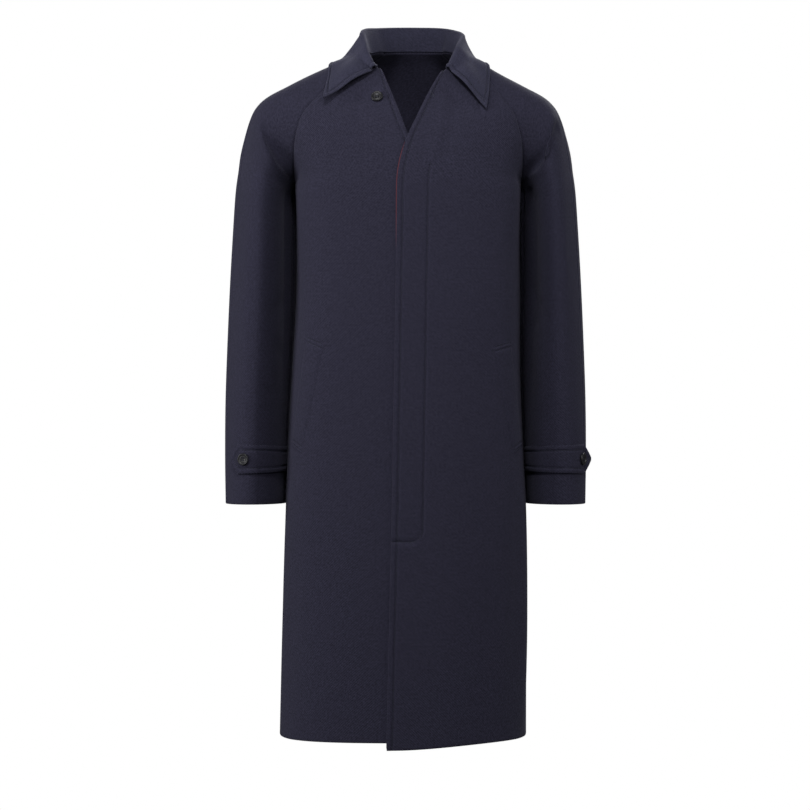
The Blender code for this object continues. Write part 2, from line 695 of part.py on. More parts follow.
def welt_walls(grid, normals, corners):
    """Outer and inner points of a pocket welt that lies on a front."""
    outer = []
    inner = []
    for along_share in np.linspace(0, 1, WELT_STEPS_ALONG):
        ends = {name: column[0] + (column[1] - column[0]) * along_share for name, column in corners.items()}
        outer_row = []
        inner_row = []
        for across in np.linspace(0, 1, WELT_STEPS_ACROSS):
            x = ends["inner_x"] + (ends["outer_x"] - ends["inner_x"]) * across
            height = ends["inner_z"] + (ends["outer_z"] - ends["inner_z"]) * across
            side = 1 if grid[0, -1, 0] > 0 else -1
            point, facing = lying_point(grid, normals, side * x, height)
            inner_row.append(point + facing * WELT_GAP)
            outer_row.append(point + facing * (WELT_GAP + WELT_CLOTH))
        outer.append(outer_row)
        inner.append(inner_row)
    return np.array(outer), np.array(inner)


def strap_walls(grids, normals, side):
    """Outer and inner points of a cuff tab, and the place and direction of its button."""
    word = "left" if side > 0 else "right"
    parts = []
    for source in (grids, normals):
        front = source["sleeve_front_" + word]
        back = source["sleeve_back_" + word][:, -2::-1]
        parts.append(np.concatenate((front, back), axis=1))
    ring, facing = parts
    rows = np.arange(len(ring))

    def row_at(column, height):
        return np.interp(height, ring[::-1, column, 2], rows[::-1])

    middle_line = level_line(ring, STRAP_Z)
    lengths = np.concatenate(([0], np.cumsum(np.linalg.norm(np.diff(middle_line, axis=0), axis=1))))
    front_part = slice(0, SLEEVE_COLUMNS)
    button = np.interp(STRAPS[side]["button_x"], side * middle_line[front_part, 0], lengths[front_part])
    tip = button + STRAP_PAST_BUTTON
    shoulder = tip - STRAP_POINT_LENGTH
    own = [length for length in lengths if STRAP_SEAM_START < length < tip - STRAP_TIP_CLEAR]
    stations = sorted(own + [STRAP_SEAM_START, shoulder, tip])
    outer = []
    inner = []

    def lifted(length, height):
        column = np.interp(length, lengths, np.arange(len(lengths)))
        row = row_at(int(round(column)), height)
        share = column / (ring.shape[1] - 1)
        direction = unit(grid_at(facing, row, share))
        past_button = (length - button - BUTTON_RADIUS) / (tip - button - BUTTON_RADIUS)
        standing = max(0.0, past_button) * STRAPS[side]["tip_lift"]
        return grid_at(ring, row, share) + direction * (LYING_GAP + standing), direction

    for length in stations:
        widening = length / shoulder
        half = STRAP_HALF_WIDTH_SEAM + (STRAP_HALF_WIDTH_BUTTON - STRAP_HALF_WIDTH_SEAM) * widening
        if length > shoulder:
            point = (tip - length) / STRAP_POINT_LENGTH
            half = STRAP_TIP_HALF_WIDTH + (STRAP_HALF_WIDTH_BUTTON - STRAP_TIP_HALF_WIDTH) * point
        places = [lifted(length, STRAP_Z + half * share) for share in np.linspace(1, -1, STRAP_ROWS)]
        inner.append([place for place, direction in places])
        outer.append([place + direction * STRAP_CLOTH for place, direction in places])
    seat, direction = lifted(button, STRAP_Z)
    return np.array(outer), np.array(inner), seat + direction * (STRAP_CLOTH + BUTTON_GAP), direction


def add_button(name, seat, direction, parts, cutters):
    """A dished four-hole button: a turned profile with its holes cut through, standing on its seat."""
    inside = BUTTON_RADIUS - BUTTON_RIM
    rings = [
        (0.0, BUTTON_THICKNESS - BUTTON_DISH),
        (inside * BUTTON_DISH_SHARE, BUTTON_THICKNESS - BUTTON_DISH),
        (inside, BUTTON_THICKNESS - BUTTON_RIM_FALL),
        (BUTTON_RADIUS - BUTTON_EDGE_INSET, BUTTON_THICKNESS),
        (BUTTON_RADIUS, BUTTON_THICKNESS - BUTTON_EDGE_HEIGHT),
        (BUTTON_RADIUS, BUTTON_EDGE_HEIGHT),
        (BUTTON_RADIUS - BUTTON_EDGE_INSET, 0.0),
        (0.0, 0.0),
    ]
    shape = bmesh.new()
    profile = [shape.verts.new((radius * MM, 0, height * MM)) for radius, height in rings]
    edges = [shape.edges.new(pair) for pair in zip(profile, profile[1:])]
    bmesh.ops.spin(shape, geom=profile + edges, cent=(0, 0, 0), axis=(0, 0, 1),
                   angle=math.tau, steps=BUTTON_SIDES, use_merge=True)
    bmesh.ops.remove_doubles(shape, verts=shape.verts, dist=0.01 * MM)
    bmesh.ops.recalc_face_normals(shape, faces=shape.faces)
    mesh = bpy.data.meshes.new(name)
    shape.to_mesh(mesh)
    shape.free()
    mesh.materials.append(finish_material(name + "_finish", DARK_HORN))
    piece = bpy.data.objects.new(name, mesh)
    parts.objects.link(piece)
    piece.location = seat * MM
    piece.rotation_euler = Vector(direction).to_track_quat("Z", "Y").to_euler()
    drill = bmesh.new()
    for x_sign in (-1, 1):
        for y_sign in (-1, 1):
            hole = bmesh.ops.create_cone(
                drill, cap_ends=True, segments=BUTTON_HOLE_SIDES, depth=BUTTON_HOLE_DEPTH * MM,
                radius1=BUTTON_HOLE_RADIUS * MM, radius2=BUTTON_HOLE_RADIUS * MM)
            shift = (x_sign * BUTTON_HOLE_PITCH * MM, y_sign * BUTTON_HOLE_PITCH * MM, 0)
            bmesh.ops.translate(drill, verts=hole["verts"], vec=shift)
    drill_mesh = bpy.data.meshes.new(name + "_holes")
    drill.to_mesh(drill_mesh)
    drill.free()
    cutter = bpy.data.objects.new(name + "_holes", drill_mesh)
    cutter.hide_render = True
    cutter.display_type = "WIRE"
    cutters.objects.link(cutter)
    cutter.location = piece.location
    cutter.rotation_euler = piece.rotation_euler
    cut = piece.modifiers.new("thread_holes", "BOOLEAN")
    cut.operation = "DIFFERENCE"
    cut.object = cutter
    return piece


def piping_walls(grid, normals):
    """Outer and inner points of the piping that runs beside the left front's edge."""
    edge = grid[:, 0]
    heights = np.linspace(PIPING_TOP, PIPING_BOTTOM, PIPING_STEPS)
    rows = [np.interp(height, edge[::-1, 2], np.arange(len(edge))[::-1]) for height in heights]
    outer = []
    inner = []
    for row in rows:
        point = grid_at(grid, row, 0.0)
        facing = unit(grid_at(normals, row, 0.0))
        aside = unit(point - grid_at(grid, row, PIPING_SIDE_SHARE))
        near = point + aside * SEAM_GAP - facing * (CLOTH - PIPING_SIZE)
        outer.append([near, near + aside * PIPING_SIZE])
        inner.append([near - facing * PIPING_SIZE, near + aside * PIPING_SIZE - facing * PIPING_SIZE])
    return np.array(outer), np.array(inner)


def main():
    """Build every piece of the coat."""
    for old in list(bpy.data.objects):
        bpy.data.objects.remove(old, do_unlink=True)
    parts = bpy.data.collections.new("raglan_coat")
    cutters = bpy.data.collections.new("cutters")
    bpy.context.scene.collection.children.link(parts)
    bpy.context.scene.collection.children.link(cutters)
    grids, normals = panel_grids()
    for name, grid in grids.items():
        add_wall(name, grid, grid - normals[name] * CLOTH, NAVY_WOOL, parts)
    stand, fall = collar_walls(grids, normals)
    add_wall("collar_stand", *stand, NAVY_WOOL, parts)
    add_wall("collar_fall", *fall, NAVY_WOOL, parts)
    for side, word in ((1, "left"), (-1, "right")):
        front = "front_" + word
        welt = welt_walls(grids[front], normals[front], WELTS[side])
        add_wall("pocket_welt_" + word, *welt, NAVY_WOOL, parts)
        outer, inner, seat, direction = strap_walls(grids, normals, side)
        add_wall("cuff_strap_" + word, outer, inner, NAVY_WOOL, parts)
        add_button("cuff_button_" + word, seat, direction, parts, cutters)
    under = "front_right"
    point, facing = lying_point(grids[under], normals[under], NECK_BUTTON_X, NECK_BUTTON_Z)
    add_button("neck_button", point + facing * BUTTON_GAP, facing, parts, cutters)
    piping = piping_walls(grids["front_left"], normals["front_left"])
    add_wall("fly_piping", *piping, WINE_CORD, parts)


main()
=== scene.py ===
# %% [markdown]
# # Raglan coat: the looks
# This script dresses the imported solids of a knee-length wool coat. Every cloth panel is made again as
# a thin shell on the form of its solid, but finer: with soft creases, sunk seams, rounded edges, rows
# of stitches and a wool finish. The solids stay in the simulation, and only these pieces are shown.

# %% Load the frame and group its parts into bodies
import json
import math

import bmesh
import bpy
import numpy as np
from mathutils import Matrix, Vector

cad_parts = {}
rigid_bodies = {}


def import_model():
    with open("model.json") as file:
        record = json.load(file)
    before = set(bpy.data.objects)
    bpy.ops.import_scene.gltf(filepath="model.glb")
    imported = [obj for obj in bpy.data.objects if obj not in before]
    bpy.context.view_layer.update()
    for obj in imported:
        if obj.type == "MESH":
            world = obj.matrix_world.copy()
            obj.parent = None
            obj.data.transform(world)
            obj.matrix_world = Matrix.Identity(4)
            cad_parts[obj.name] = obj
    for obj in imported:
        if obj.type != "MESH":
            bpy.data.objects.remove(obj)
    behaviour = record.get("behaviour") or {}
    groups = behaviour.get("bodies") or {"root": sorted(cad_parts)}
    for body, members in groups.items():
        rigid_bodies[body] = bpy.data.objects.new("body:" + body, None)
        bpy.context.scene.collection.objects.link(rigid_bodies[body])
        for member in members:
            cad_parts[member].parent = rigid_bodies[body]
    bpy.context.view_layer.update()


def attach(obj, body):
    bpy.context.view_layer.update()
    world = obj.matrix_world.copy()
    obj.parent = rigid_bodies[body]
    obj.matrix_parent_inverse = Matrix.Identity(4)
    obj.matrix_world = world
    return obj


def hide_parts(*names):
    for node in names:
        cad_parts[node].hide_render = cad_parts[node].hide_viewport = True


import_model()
MM = 0.001


def add_to_scene(name, data):
    """An object with the given data, linked into the scene."""
    item = bpy.data.objects.new(name, data)
    bpy.context.scene.collection.objects.link(item)
    return item


# %% [markdown]
# ## Camera
# The picture is a straight front view. A long lens far away keeps the hem and the collar almost
# undistorted, so 1 pixel is the same 1.55 mm nearly everywhere on the coat.

# %% Camera at the photograph's angle
CAMERA_DISTANCE = 5.0
VIEW_CENTRE_X = -0.0008
VIEW_CENTRE_Z = -0.511
VIEW_WIDTH = 1.2555
SENSOR_WIDTH = 36.0
camera = add_to_scene("photo_camera", bpy.data.cameras.new("photo_camera"))
camera.data.sensor_width = SENSOR_WIDTH
camera.data.lens = SENSOR_WIDTH * CAMERA_DISTANCE / VIEW_WIDTH
camera.location = (VIEW_CENTRE_X, -CAMERA_DISTANCE, VIEW_CENTRE_Z)
camera.rotation_euler = (math.radians(90), 0, 0)
bpy.context.scene.camera = camera
print("lens:", round(camera.data.lens, 1), "mm")

# %% [markdown]
# ## Studio
# The coat hangs in the air in its worn form, so the floor lies well below its hem. It is grey, so that it
# throws little light up onto the hem. The main lamp hangs close above the front, so the collar and chest
# are brighter than the hem and the collar throws a soft shadow. A second one stands farther in front and
# evens the body out, those at the sides brush the outsides of the sleeves, and one lights the back. The
# surround looks white, but lights the cloth only a little: two Background shaders are mixed by the kind
# of ray.

# %% Surround and lamps
LAMPS = {
    "main": {"place": (-0.22, -1.20, 1.12), "aim": (0.0, -0.1, -0.35), "size": 0.36, "watts": 16.0},
    "front": {"place": (0.45, -2.00, 0.60), "aim": (0.0, -0.1, -0.35), "size": 0.6, "watts": 14.0},
    "left": {"place": (-1.25, -1.75, 0.35), "aim": (-0.2, 0.0, -0.3), "size": 0.8, "watts": 11.0},
    "far_left": {"place": (-2.2, -0.75, -0.05), "aim": (-0.25, 0.0, -0.3), "size": 0.8, "watts": 36.0},
    "right": {"place": (2.2, -0.80, 0.4), "aim": (0.2, 0.0, -0.3), "size": 1.0, "watts": 22.0},
    "rear": {"place": (0.5, 2.2, 1.2), "aim": (0.0, 0.1, -0.35), "size": 1.6, "watts": 65.0},
}
SURROUND_SEEN = 1.0
SURROUND_LIGHT = 0.06

world = bpy.data.worlds.new("white_surround")
world.use_nodes = True
surround = world.node_tree
seen = surround.nodes["Background"]
seen.inputs["Strength"].default_value = SURROUND_SEEN
lighting = surround.nodes.new("ShaderNodeBackground")
lighting.inputs["Strength"].default_value = SURROUND_LIGHT
for background in (seen, lighting):
    background.inputs["Color"].default_value = (1.0, 1.0, 1.0, 1.0)
choice = surround.nodes.new("ShaderNodeMixShader")
rays = surround.nodes.new("ShaderNodeLightPath")
surround.links.new(rays.outputs["Is Camera Ray"], choice.inputs["Fac"])
surround.links.new(lighting.outputs["Background"], choice.inputs[1])
surround.links.new(seen.outputs["Background"], choice.inputs[2])
surround.links.new(choice.outputs["Shader"], surround.nodes["World Output"].inputs["Surface"])
bpy.context.scene.world = world
bpy.context.scene.view_settings.view_transform = "Standard"

for lamp_name, lamp in LAMPS.items():
    light = bpy.data.lights.new("lamp_" + lamp_name, "AREA")
    light.size = lamp["size"]
    light.energy = lamp["watts"]
    holder = add_to_scene("lamp_" + lamp_name, light)
    holder.location = lamp["place"]
    toward = Vector(lamp["aim"]) - holder.location
    holder.rotation_euler = toward.to_track_quat("-Z", "Y").to_euler()
    holder.visible_camera = False
print("lamps:", len(LAMPS))

# %% Grey floor
FLOOR_Z = -1.62
FLOOR_HALF = 2.4
FLOOR_LOOK = {"Base Color": (0.26, 0.26, 0.26, 1.0), "Roughness": 0.85}


def new_finish(name, look):
    """A material with the fixed inputs of its shader, its node tree and the shader."""
    material = bpy.data.materials.new(name)
    material.use_nodes = True
    shader = material.node_tree.nodes["Principled BSDF"]
    for socket, value in look.items():
        shader.inputs[socket].default_value = value
    return material, material.node_tree, shader


floor_mesh = bpy.data.meshes.new("studio_floor")
corners = [(x * FLOOR_HALF, y * FLOOR_HALF, FLOOR_Z) for x, y in ((-1, -1), (1, -1), (1, 1), (-1, 1))]
floor_mesh.from_pydata(corners, [], [(0, 1, 2, 3)])
floor_mesh.materials.append(new_finish("grey_floor", FLOOR_LOOK)[0])
floor = add_to_scene("studio_floor", floor_mesh)
print("floor at", FLOOR_Z)

# %% [markdown]
# ## Finishes
# The coat is a milled navy wool: a fine diagonal weave, half hidden by a short nap. The weave reads the
# piece's own UV map, which is in metres of cloth, so it keeps its size and follows each panel. Three
# things vary: the weave lines, single fibres, and a slow cloudiness from pressing and wear. They change
# the colour a little and the surface through bump. Sheen gives the nap its pale look at glancing angles.

# %% Wool finish
WEAVE_PITCH = 0.0021
WEAVE_ANGLE = 62.0
WAVE_RADIANS_PER_UNIT = 20.0
WEAVE_WANDER = {"Distortion": 1.6, "Detail": 2.0, "Detail Scale": 1.5}
WEAVE_SHARE = 0.35
FIBRES = {"Scale": 290.0, "Detail": 5.0, "Roughness": 0.72}
CLOUDS = {"Scale": 60.0, "Detail": 3.0, "Roughness": 0.55}
GRAIN_RANGE = {"From Min": 0.50, "From Max": 0.86}
CLOUD_SHADES = {"From Min": 0.25, "From Max": 0.75, "To Min": 0.94, "To Max": 1.06}
GRAIN_BUMP = {"Strength": 0.75, "Distance": 0.0006}
WOOL_LOOK = {
    "Roughness": 0.92,
    "Specular IOR Level": 0.12,
    "Sheen Roughness": 0.45,
    "Sheen Tint": (0.60, 0.60, 0.80, 1.0),
}


def add_node(tree, kind, inputs=None, **settings):
    """A shader node with its settings and its unlinked inputs."""
    node = tree.nodes.new(kind)
    for name, value in settings.items():
        setattr(node, name, value)
    for name, value in (inputs or {}).items():
        node.inputs[name].default_value = value
    return node


def mix_colours(tree, factor, first, second):
    """A colour node between two colours, that a factor socket drives."""
    mix = add_node(tree, "ShaderNodeMix", data_type="RGBA")
    tree.links.new(factor, mix.inputs["Factor"])
    for place, value in (("A", first), ("B", second)):
        socket = [s for s in mix.inputs if s.name == place and s.type == "RGBA"][0]
        if isinstance(value, tuple):
            socket.default_value = value
        else:
            tree.links.new(value, socket)
    return [s for s in mix.outputs if s.type == "RGBA"][0]


def wool_finish(name, deep, pale, sheen):
    """A napped wool in two close colours."""
    material, tree, shader = new_finish(name, {**WOOL_LOOK, "Sheen Weight": sheen})
    place = add_node(tree, "ShaderNodeTexCoord").outputs["UV"]
    turned = add_node(tree, "ShaderNodeMapping", {"Rotation": (0, 0, math.radians(WEAVE_ANGLE))})
    tree.links.new(place, turned.inputs["Vector"])
    weave_scale = math.tau / (WAVE_RADIANS_PER_UNIT * WEAVE_PITCH)
    weave = add_node(tree, "ShaderNodeTexWave", {"Scale": weave_scale, **WEAVE_WANDER})
    tree.links.new(turned.outputs["Vector"], weave.inputs["Vector"])
    fibre = add_node(tree, "ShaderNodeTexNoise", FIBRES)
    cloud = add_node(tree, "ShaderNodeTexNoise", CLOUDS)
    for texture in (fibre, cloud):
        tree.links.new(place, texture.inputs["Vector"])
    grain = add_node(tree, "ShaderNodeMath", {1: WEAVE_SHARE}, operation="MULTIPLY_ADD")
    tree.links.new(weave.outputs["Fac"], grain.inputs[0])
    tree.links.new(fibre.outputs["Fac"], grain.inputs[2])
    spread_out = add_node(tree, "ShaderNodeMapRange", GRAIN_RANGE)
    tree.links.new(grain.outputs["Value"], spread_out.inputs["Value"])
    ground = mix_colours(tree, spread_out.outputs["Result"], deep, pale)
    shade = add_node(tree, "ShaderNodeMapRange", CLOUD_SHADES)
    tree.links.new(cloud.outputs["Fac"], shade.inputs["Value"])
    tinted = add_node(tree, "ShaderNodeVectorMath", operation="SCALE")
    tree.links.new(ground, tinted.inputs["Vector"])
    tree.links.new(shade.outputs["Result"], tinted.inputs["Scale"])
    tree.links.new(tinted.outputs["Vector"], shader.inputs["Base Color"])
    bump = add_node(tree, "ShaderNodeBump", GRAIN_BUMP)
    tree.links.new(grain.outputs["Value"], bump.inputs["Height"])
    tree.links.new(bump.outputs["Normal"], shader.inputs["Normal"])
    return material


SHELL_WOOL = wool_finish(
    "navy_wool", deep=(0.0098, 0.0094, 0.0174, 1), pale=(0.0284, 0.0272, 0.0486, 1), sheen=0.06)
# Painted light: the collar gets the panels' navy wool in lighter colours, standing in for the light on its
# upturned leaves.
COLLAR_WOOL_PAINTED_LIGHT = wool_finish(
    "collar_wool", deep=(0.0140, 0.0138, 0.0245, 1), pale=(0.0350, 0.0346, 0.0600, 1), sheen=0.10)
print("wool finishes:", SHELL_WOOL.name, COLLAR_WOOL_PAINTED_LIGHT.name)

# %% [markdown]
# ## The cut
# A garment has no exact shape to measure, so its form is given as sections. Each row of a table is one
# section of the coat, from the neck down, and says where its seams are and how the cloth leaves them.
# These are the same tables as in the solids' own script, so that the shells lie on the solids.
# Sizes are in millimetres here.

# %% Tables of the fronts, the back and the sleeves
CLOTH = 2.4
SEAM_GAP = 0.3
LAP_GAP = 0.5
UNDERARM_ROW = 9


def table(names, *rows):
    """Named columns, each an array with one value for each row."""
    values = np.array(rows, dtype=float)
    return {name: values[:, index] for index, name in enumerate(names.split())}


# Fronts. x is measured from the coat's centre line, which stands at "middle"; the two edges are true x
FRONT = table(
    "middle centre_y centre_z left_edge right_edge seam_x seam_y seam_z turn rise centre_reach seam_reach",
    (12, -88, -14, 53, -36, 72, -42, 23, 57, 33, 36, 22),
    (10, -99, -36, 37, -24, 90, -50, 12, 50, 30, 46, 27),
    (8, -110, -58, 25, -13.5, 114, -60, -6, 46, 29, 58, 33),
    (6, -119, -79, 15, -5.5, 141, -78, -40, 46, 24, 76, 38),
    (4, -126, -99, 5.3, 2, 163, -85, -69, 53, 16, 92, 46),
    (4, -131, -119, -2.3, 12, 174, -75, -107, 64, 8, 102, 52),
    (4, -134, -138, -7, 20, 176, -58, -137, 74, 2, 111, 66),
    (4, -136.5, -153, -10, 25, 175.5, -41, -154, 81, -1, 119, 82),
    (4, -138, -164, -11, 29, 174.5, -22, -164, 86, -1, 127, 99),
    (4, -139, -174, -12, 31, 174, -4, -168, 90, 0, 133, 115),
    (4, -139.5, -186, -12, 33, 172, -4, -180, 96, 0, 131.5, 116),
    (4, -140, -200, -12, 34, 171, -4, -197, 95, 0, 131, 116),
    (4, -141, -262, -13, 35, 171.5, -4, -260, 92, 0, 132, 116.5),
    (4, -143, -350, -14.5, 35, 173, -4, -350, 90, 0, 134, 117),
    (1, -145, -450, -16, 35, 176, -4, -450, 90, 0, 135, 117),
    (0, -148, -560, -18, 34, 181, -4, -560, 90, 0, 136, 117),
    (0, -151, -680, -20, 33, 185.5, -3, -680, 90, 0, 138, 118),
    (-2, -155, -850, -24, 31, 188.5, -2, -850, 90, 0, 139, 119),
    (-4, -159, -1018, -28, 28, 190.5, 0, -1018, 90, 0, 140, 120),
)

# Back. The rows below the underarm end on the side seam, whose points the fronts give
BACK = table(
    "centre_y centre_z seam_x seam_y seam_z turn rise centre_reach seam_reach",
    (78, 44, 46, 59, 41, -42, -6, 26, 17),
    (92, 26, 74, 77, 19, -38, -14, 40, 24),
    (105, 0, 101, 92, -10, -36, -8, 56, 30),
    (116, -30, 125, 99, -39, -40, -6, 70, 36),
    (124, -64, 146, 94, -70, -48, -3, 86, 42),
    (129, -98, 161, 79, -101, -60, 0, 100, 54),
    (131, -128, 169, 60, -130, -72, 0, 109, 66),
    (131.5, -150, 173, 41, -150, -80, 0, 115, 78),
    (131, -164, 174, 20, -162, -86, 0, 125, 98),
    (130, -174, 174, -4, -168, -90, 0, 133, 113),
    (129.5, -186, 172, -4, -180, -90, 0, 131.5, 113),
    (129, -200, 171, -4, -197, -90, 0, 131, 112),
    (126, -262, 171.5, -4, -260, -90, 0, 130, 108),
    (122, -350, 173, -4, -350, -90, 0, 128, 100),
    (122, -450, 176, -4, -450, -90, 0, 128, 98),
    (126, -560, 181, -4, -560, -90, 0, 129, 98),
    (131, -680, 185.5, -3, -680, -90, 0, 128, 95),
    (138, -850, 188.5, -2, -850, -90, 0, 130, 98),
    (145, -1018, 190.5, 0, -1018, -90, 0, 132, 101),
)

# Sleeves. The overarm seam, and how the cloth leaves the inner seam and arrives at the overarm seam
OVERARM = table(
    "middle x y z cross_turn front_turn front_rise front_reach front_arrive"
    " back_turn back_rise back_reach back_arrive",
    (12, 68, 3, 34, 90, 80, 24, 16, 16, -82, 4, 22, 20),
    (6, 94, 0, 22.5, 90, 72, 32, 22, 20, -74, 20, 28, 26),
    (2, 124, -4, 10, 90, 62, 38, 28, 24, -62, 30, 34, 32),
    (0, 155, -7, -5, 90, 50, 42, 38, 34, -48, 36, 42, 40),
    (0, 186, -9, -21, 88, 28, 42, 48, 42, -24, 38, 52, 48),
    (0, 211, -10, -34, 86, 2, 38, 60, 52, 2, 36, 64, 58),
    (0, 228, -11, -48, 83, -25, 30, 74, 62, 30, 30, 80, 70),
    (0, 238, -12, -66, 80, -48, 20, 86, 74, 60, 20, 98, 86),
    (0, 244.5, -13, -91, 76, -66, 10, 95, 84, 74, 10, 106, 100),
    (0, 250.5, -14, -122, 73, -76, 4, 101, 91, 84, 4, 120, 112),
    (0, 254.5, -15, -150, 72, -72, 0, 104, 96, 108, 0, 126, 119),
    (0, 258.5, -16, -180, 72, -70, 0, 106, 100, 112, 0, 129, 123),
    (0, 262.5, -16, -240, 72, -70, 0, 106, 102, 111, 0, 132, 126),
    (0, 267, -17, -320, 72, -70, 0, 104, 102, 110, 0, 132, 126),
    (0, 271, -19, -411, 72, -72, 0, 100, 98, 108, 0, 130, 124),
    (0, 274, -24, -504, 72, -75, 0, 92, 90, 105, 0, 122, 118),
    (0, 275, -30, -590, 73, -76, 0, 82, 80, 104, 0, 112, 110),
    (0, 274.5, -34, -662, 74, -77, 0, 76, 74, 103, 0, 104, 102),
)

# The underarm seam below the armpit, one row for each row of the overarm table past the underarm
UNDERARM = table(
    "middle x y z",
    (4, 178.5, -2, -177),
    (4, 179.5, 2, -194),
    (4, 179, 8, -250),
    (4, 179, 12, -330),
    (1.9, 179.6, 12, -420),
    (0.4, 183, 6, -510),
    (0, 185.8, -4, -592),
    (0, 188.2, -9, -662),
)
print("sections:", len(FRONT["turn"]), "of the body,", len(OVERARM["x"]), "of the sleeves")

# %% Tables of the collar, the main folds and the trim
# Collar, from the centre back to the front end, as shares of half the neck seam. Full is how far the
# fall bows out, as a share of its depth
COLLAR_NAMES = "share roll_x roll_y roll_z edge_x edge_y edge_z full"
COLLAR_LEFT = table(
    COLLAR_NAMES,
    (0.00, 12, 84, 84, 6, 107, 17, 0.12),
    (0.25, 62, 64, 80, 86, 82, 15, 0.15),
    (0.56, 87, 4, 65, 117, 0, 17, 0.25),
    (0.78, 77, -43, 41, 127, -66, -17, 0.14),
    (1.00, 65, -77, 8, 122, -106, -62, 0.06),
)
COLLAR_RIGHT = table(
    COLLAR_NAMES,
    (0.00, -12, 84, 84, -6, 107, 17, 0.12),
    (0.25, 38, 64, 81, 76, 82, 15, 0.18),
    (0.56, 65, 4, 71, 109, 0, 17, 0.40),
    (0.78, 60, -43, 43, 118, -62, -10, 0.22),
    (1.00, 51, -77, 8, 125, -104, -46, 0.06),
)

# Largest folds: a line across a panel from one row and column share to another
FOLD_NAMES = "from_row from_share to_row to_share depth width"
FOLDS = {
    "sleeve_front_left": table(
        FOLD_NAMES,
        (7.3, 0.06, 7.8, 0.90, -4.5, 12),
        (6.7, 0.10, 6.2, 0.75, 3.0, 15),
    ),
    "sleeve_front_right": table(
        FOLD_NAMES,
        (6.8, 0.06, 6.3, 0.85, -3.0, 14),
        (7.8, 0.10, 8.2, 0.80, 2.5, 18),
    ),
    "front_left": table(FOLD_NAMES, (15.5, 0.86, 18.0, 0.80, 5.0, 24)),
}

# Pocket welts: true x and z of the corners, the top edge first
WELT_NAMES = "inner_x inner_z outer_x outer_z"
WELTS = {
    1: table(WELT_NAMES, (133, -423, 160, -414), (163, -585, 179, -573)),
    -1: table(WELT_NAMES, (124, -419, 151, -406), (158, -583, 174, -571)),
}

# Cuff tabs: true x of the button, and how far the point of the tab stands off the sleeve
STRAPS = {1: {"button_x": 268.0, "tip_lift": 7.0}, -1: {"button_x": 246.0, "tip_lift": 1.0}}
NECK_BUTTON_X = -43.0
NECK_BUTTON_Z = -43.0
print("collar sections:", len(COLLAR_LEFT["share"]), "pocket welts:", len(WELTS))

# %% [markdown]
# ## Curves from tables
# Down the coat, a smooth curve runs through the rows of each column. Across it, a cubic curve runs from
# seam to seam, and two arms say how it leaves each end. Pulling an arm longer makes the section squarer,
# which is how a stiff wool coat hangs.

# %% Smooth curves
DENSE_STEPS = 80
FINE_ROWS = 11
FINE_STEP = 0.5


def unit(vectors):
    """Vectors scaled to length one."""
    return vectors / np.linalg.norm(vectors, axis=-1, keepdims=True)


def smooth(value):
    """An easing from 0 to 1."""
    value = np.clip(value, 0.0, 1.0)
    return value * value * (3 - 2 * value)


def bell(distance, width):
    """A smooth bump of height one."""
    return np.exp(-((distance / width) ** 2))


def distances(line):
    """The distance of each point of a line from its start, along it."""
    return np.concatenate(([0.0], np.cumsum(np.linalg.norm(np.diff(line, axis=0), axis=1))))


def along(column, stations):
    """Values of a column at fractional rows, on a smooth curve through its rows."""
    last = len(column) - 1
    padded = np.concatenate(([2 * column[0] - column[1]], column, [2 * column[-1] - column[-2]]))
    low = np.clip(np.floor(stations).astype(int), 0, last - 1)
    step = stations - low
    before, start, end, after = (padded[low + offset] for offset in range(4))
    curve = 2 * before - 5 * start + 4 * end - after
    twist = 3 * start - before - 3 * end + after
    return 0.5 * (2 * start + (end - before) * step + curve * step**2 + twist * step**3)


def stations_to(last_row):
    """Close rows round the shoulders and armpits, and the table's own rows below."""
    upper = np.arange(0, FINE_ROWS + FINE_STEP, FINE_STEP)
    return np.concatenate((upper, np.arange(FINE_ROWS + 1, last_row + 1)))


def spread(source, names, stations):
    """Columns of a table at the stations, stacked as points or vectors."""
    return np.stack([along(source[name], stations) for name in names.split()], axis=-1)


def seam_points(source, stations):
    """Points of the raglan seam and of the side seam, which meet in a corner at the underarm."""
    upper = {name: column[: UNDERARM_ROW + 1] for name, column in source.items()}
    lower = {name: column[UNDERARM_ROW:] for name, column in source.items()}
    names = "seam_x seam_y seam_z"
    above = spread(upper, names, stations[stations <= UNDERARM_ROW])
    below = spread(lower, names, stations[stations > UNDERARM_ROW] - UNDERARM_ROW)
    return np.concatenate((above, below))


def heading(turn, rise, reach):
    """A vector from its plan angle, its slope (both in degrees) and its length."""
    turn = np.radians(turn)
    rise = np.radians(rise)
    flat = np.cos(rise)
    direction = np.stack((flat * np.cos(turn), flat * np.sin(turn), np.sin(rise)), axis=-1)
    return direction * reach[:, None]


def curve_rows(start, start_arm, end_arm, end):
    """A dense cubic curve for each row, from its two ends and the arms that leave them."""
    share = np.linspace(0, 1, DENSE_STEPS)[None, :, None]
    first = (start + start_arm)[:, None]
    second = (end + end_arm)[:, None]
    near = start[:, None] * (1 - share) ** 3 + 3 * first * share * (1 - share) ** 2
    return near + 3 * second * share**2 * (1 - share) + end[:, None] * share**3


def even_points(line, count, begin=0.0):
    """Evenly spaced points of a polyline, from a distance along it to its end."""
    lengths = distances(line)
    wanted = np.linspace(begin, lengths[-1], count)
    return np.stack([np.interp(wanted, lengths, line[:, axis]) for axis in range(3)], axis=-1)


def even_grid(lines, count):
    """Each row of dense curves as evenly spaced points."""
    return np.array([even_points(line, count) for line in lines])


print("stations of the body:", len(stations_to(len(FRONT["turn"]) - 1)))

# %% [markdown]
# ## The panels' grids
# A front starts at its edge, a little past the centre line, because the left one laps over the right one.
# The back runs from side to side. Each sleeve has a front and a back half that meet on the overarm seam.

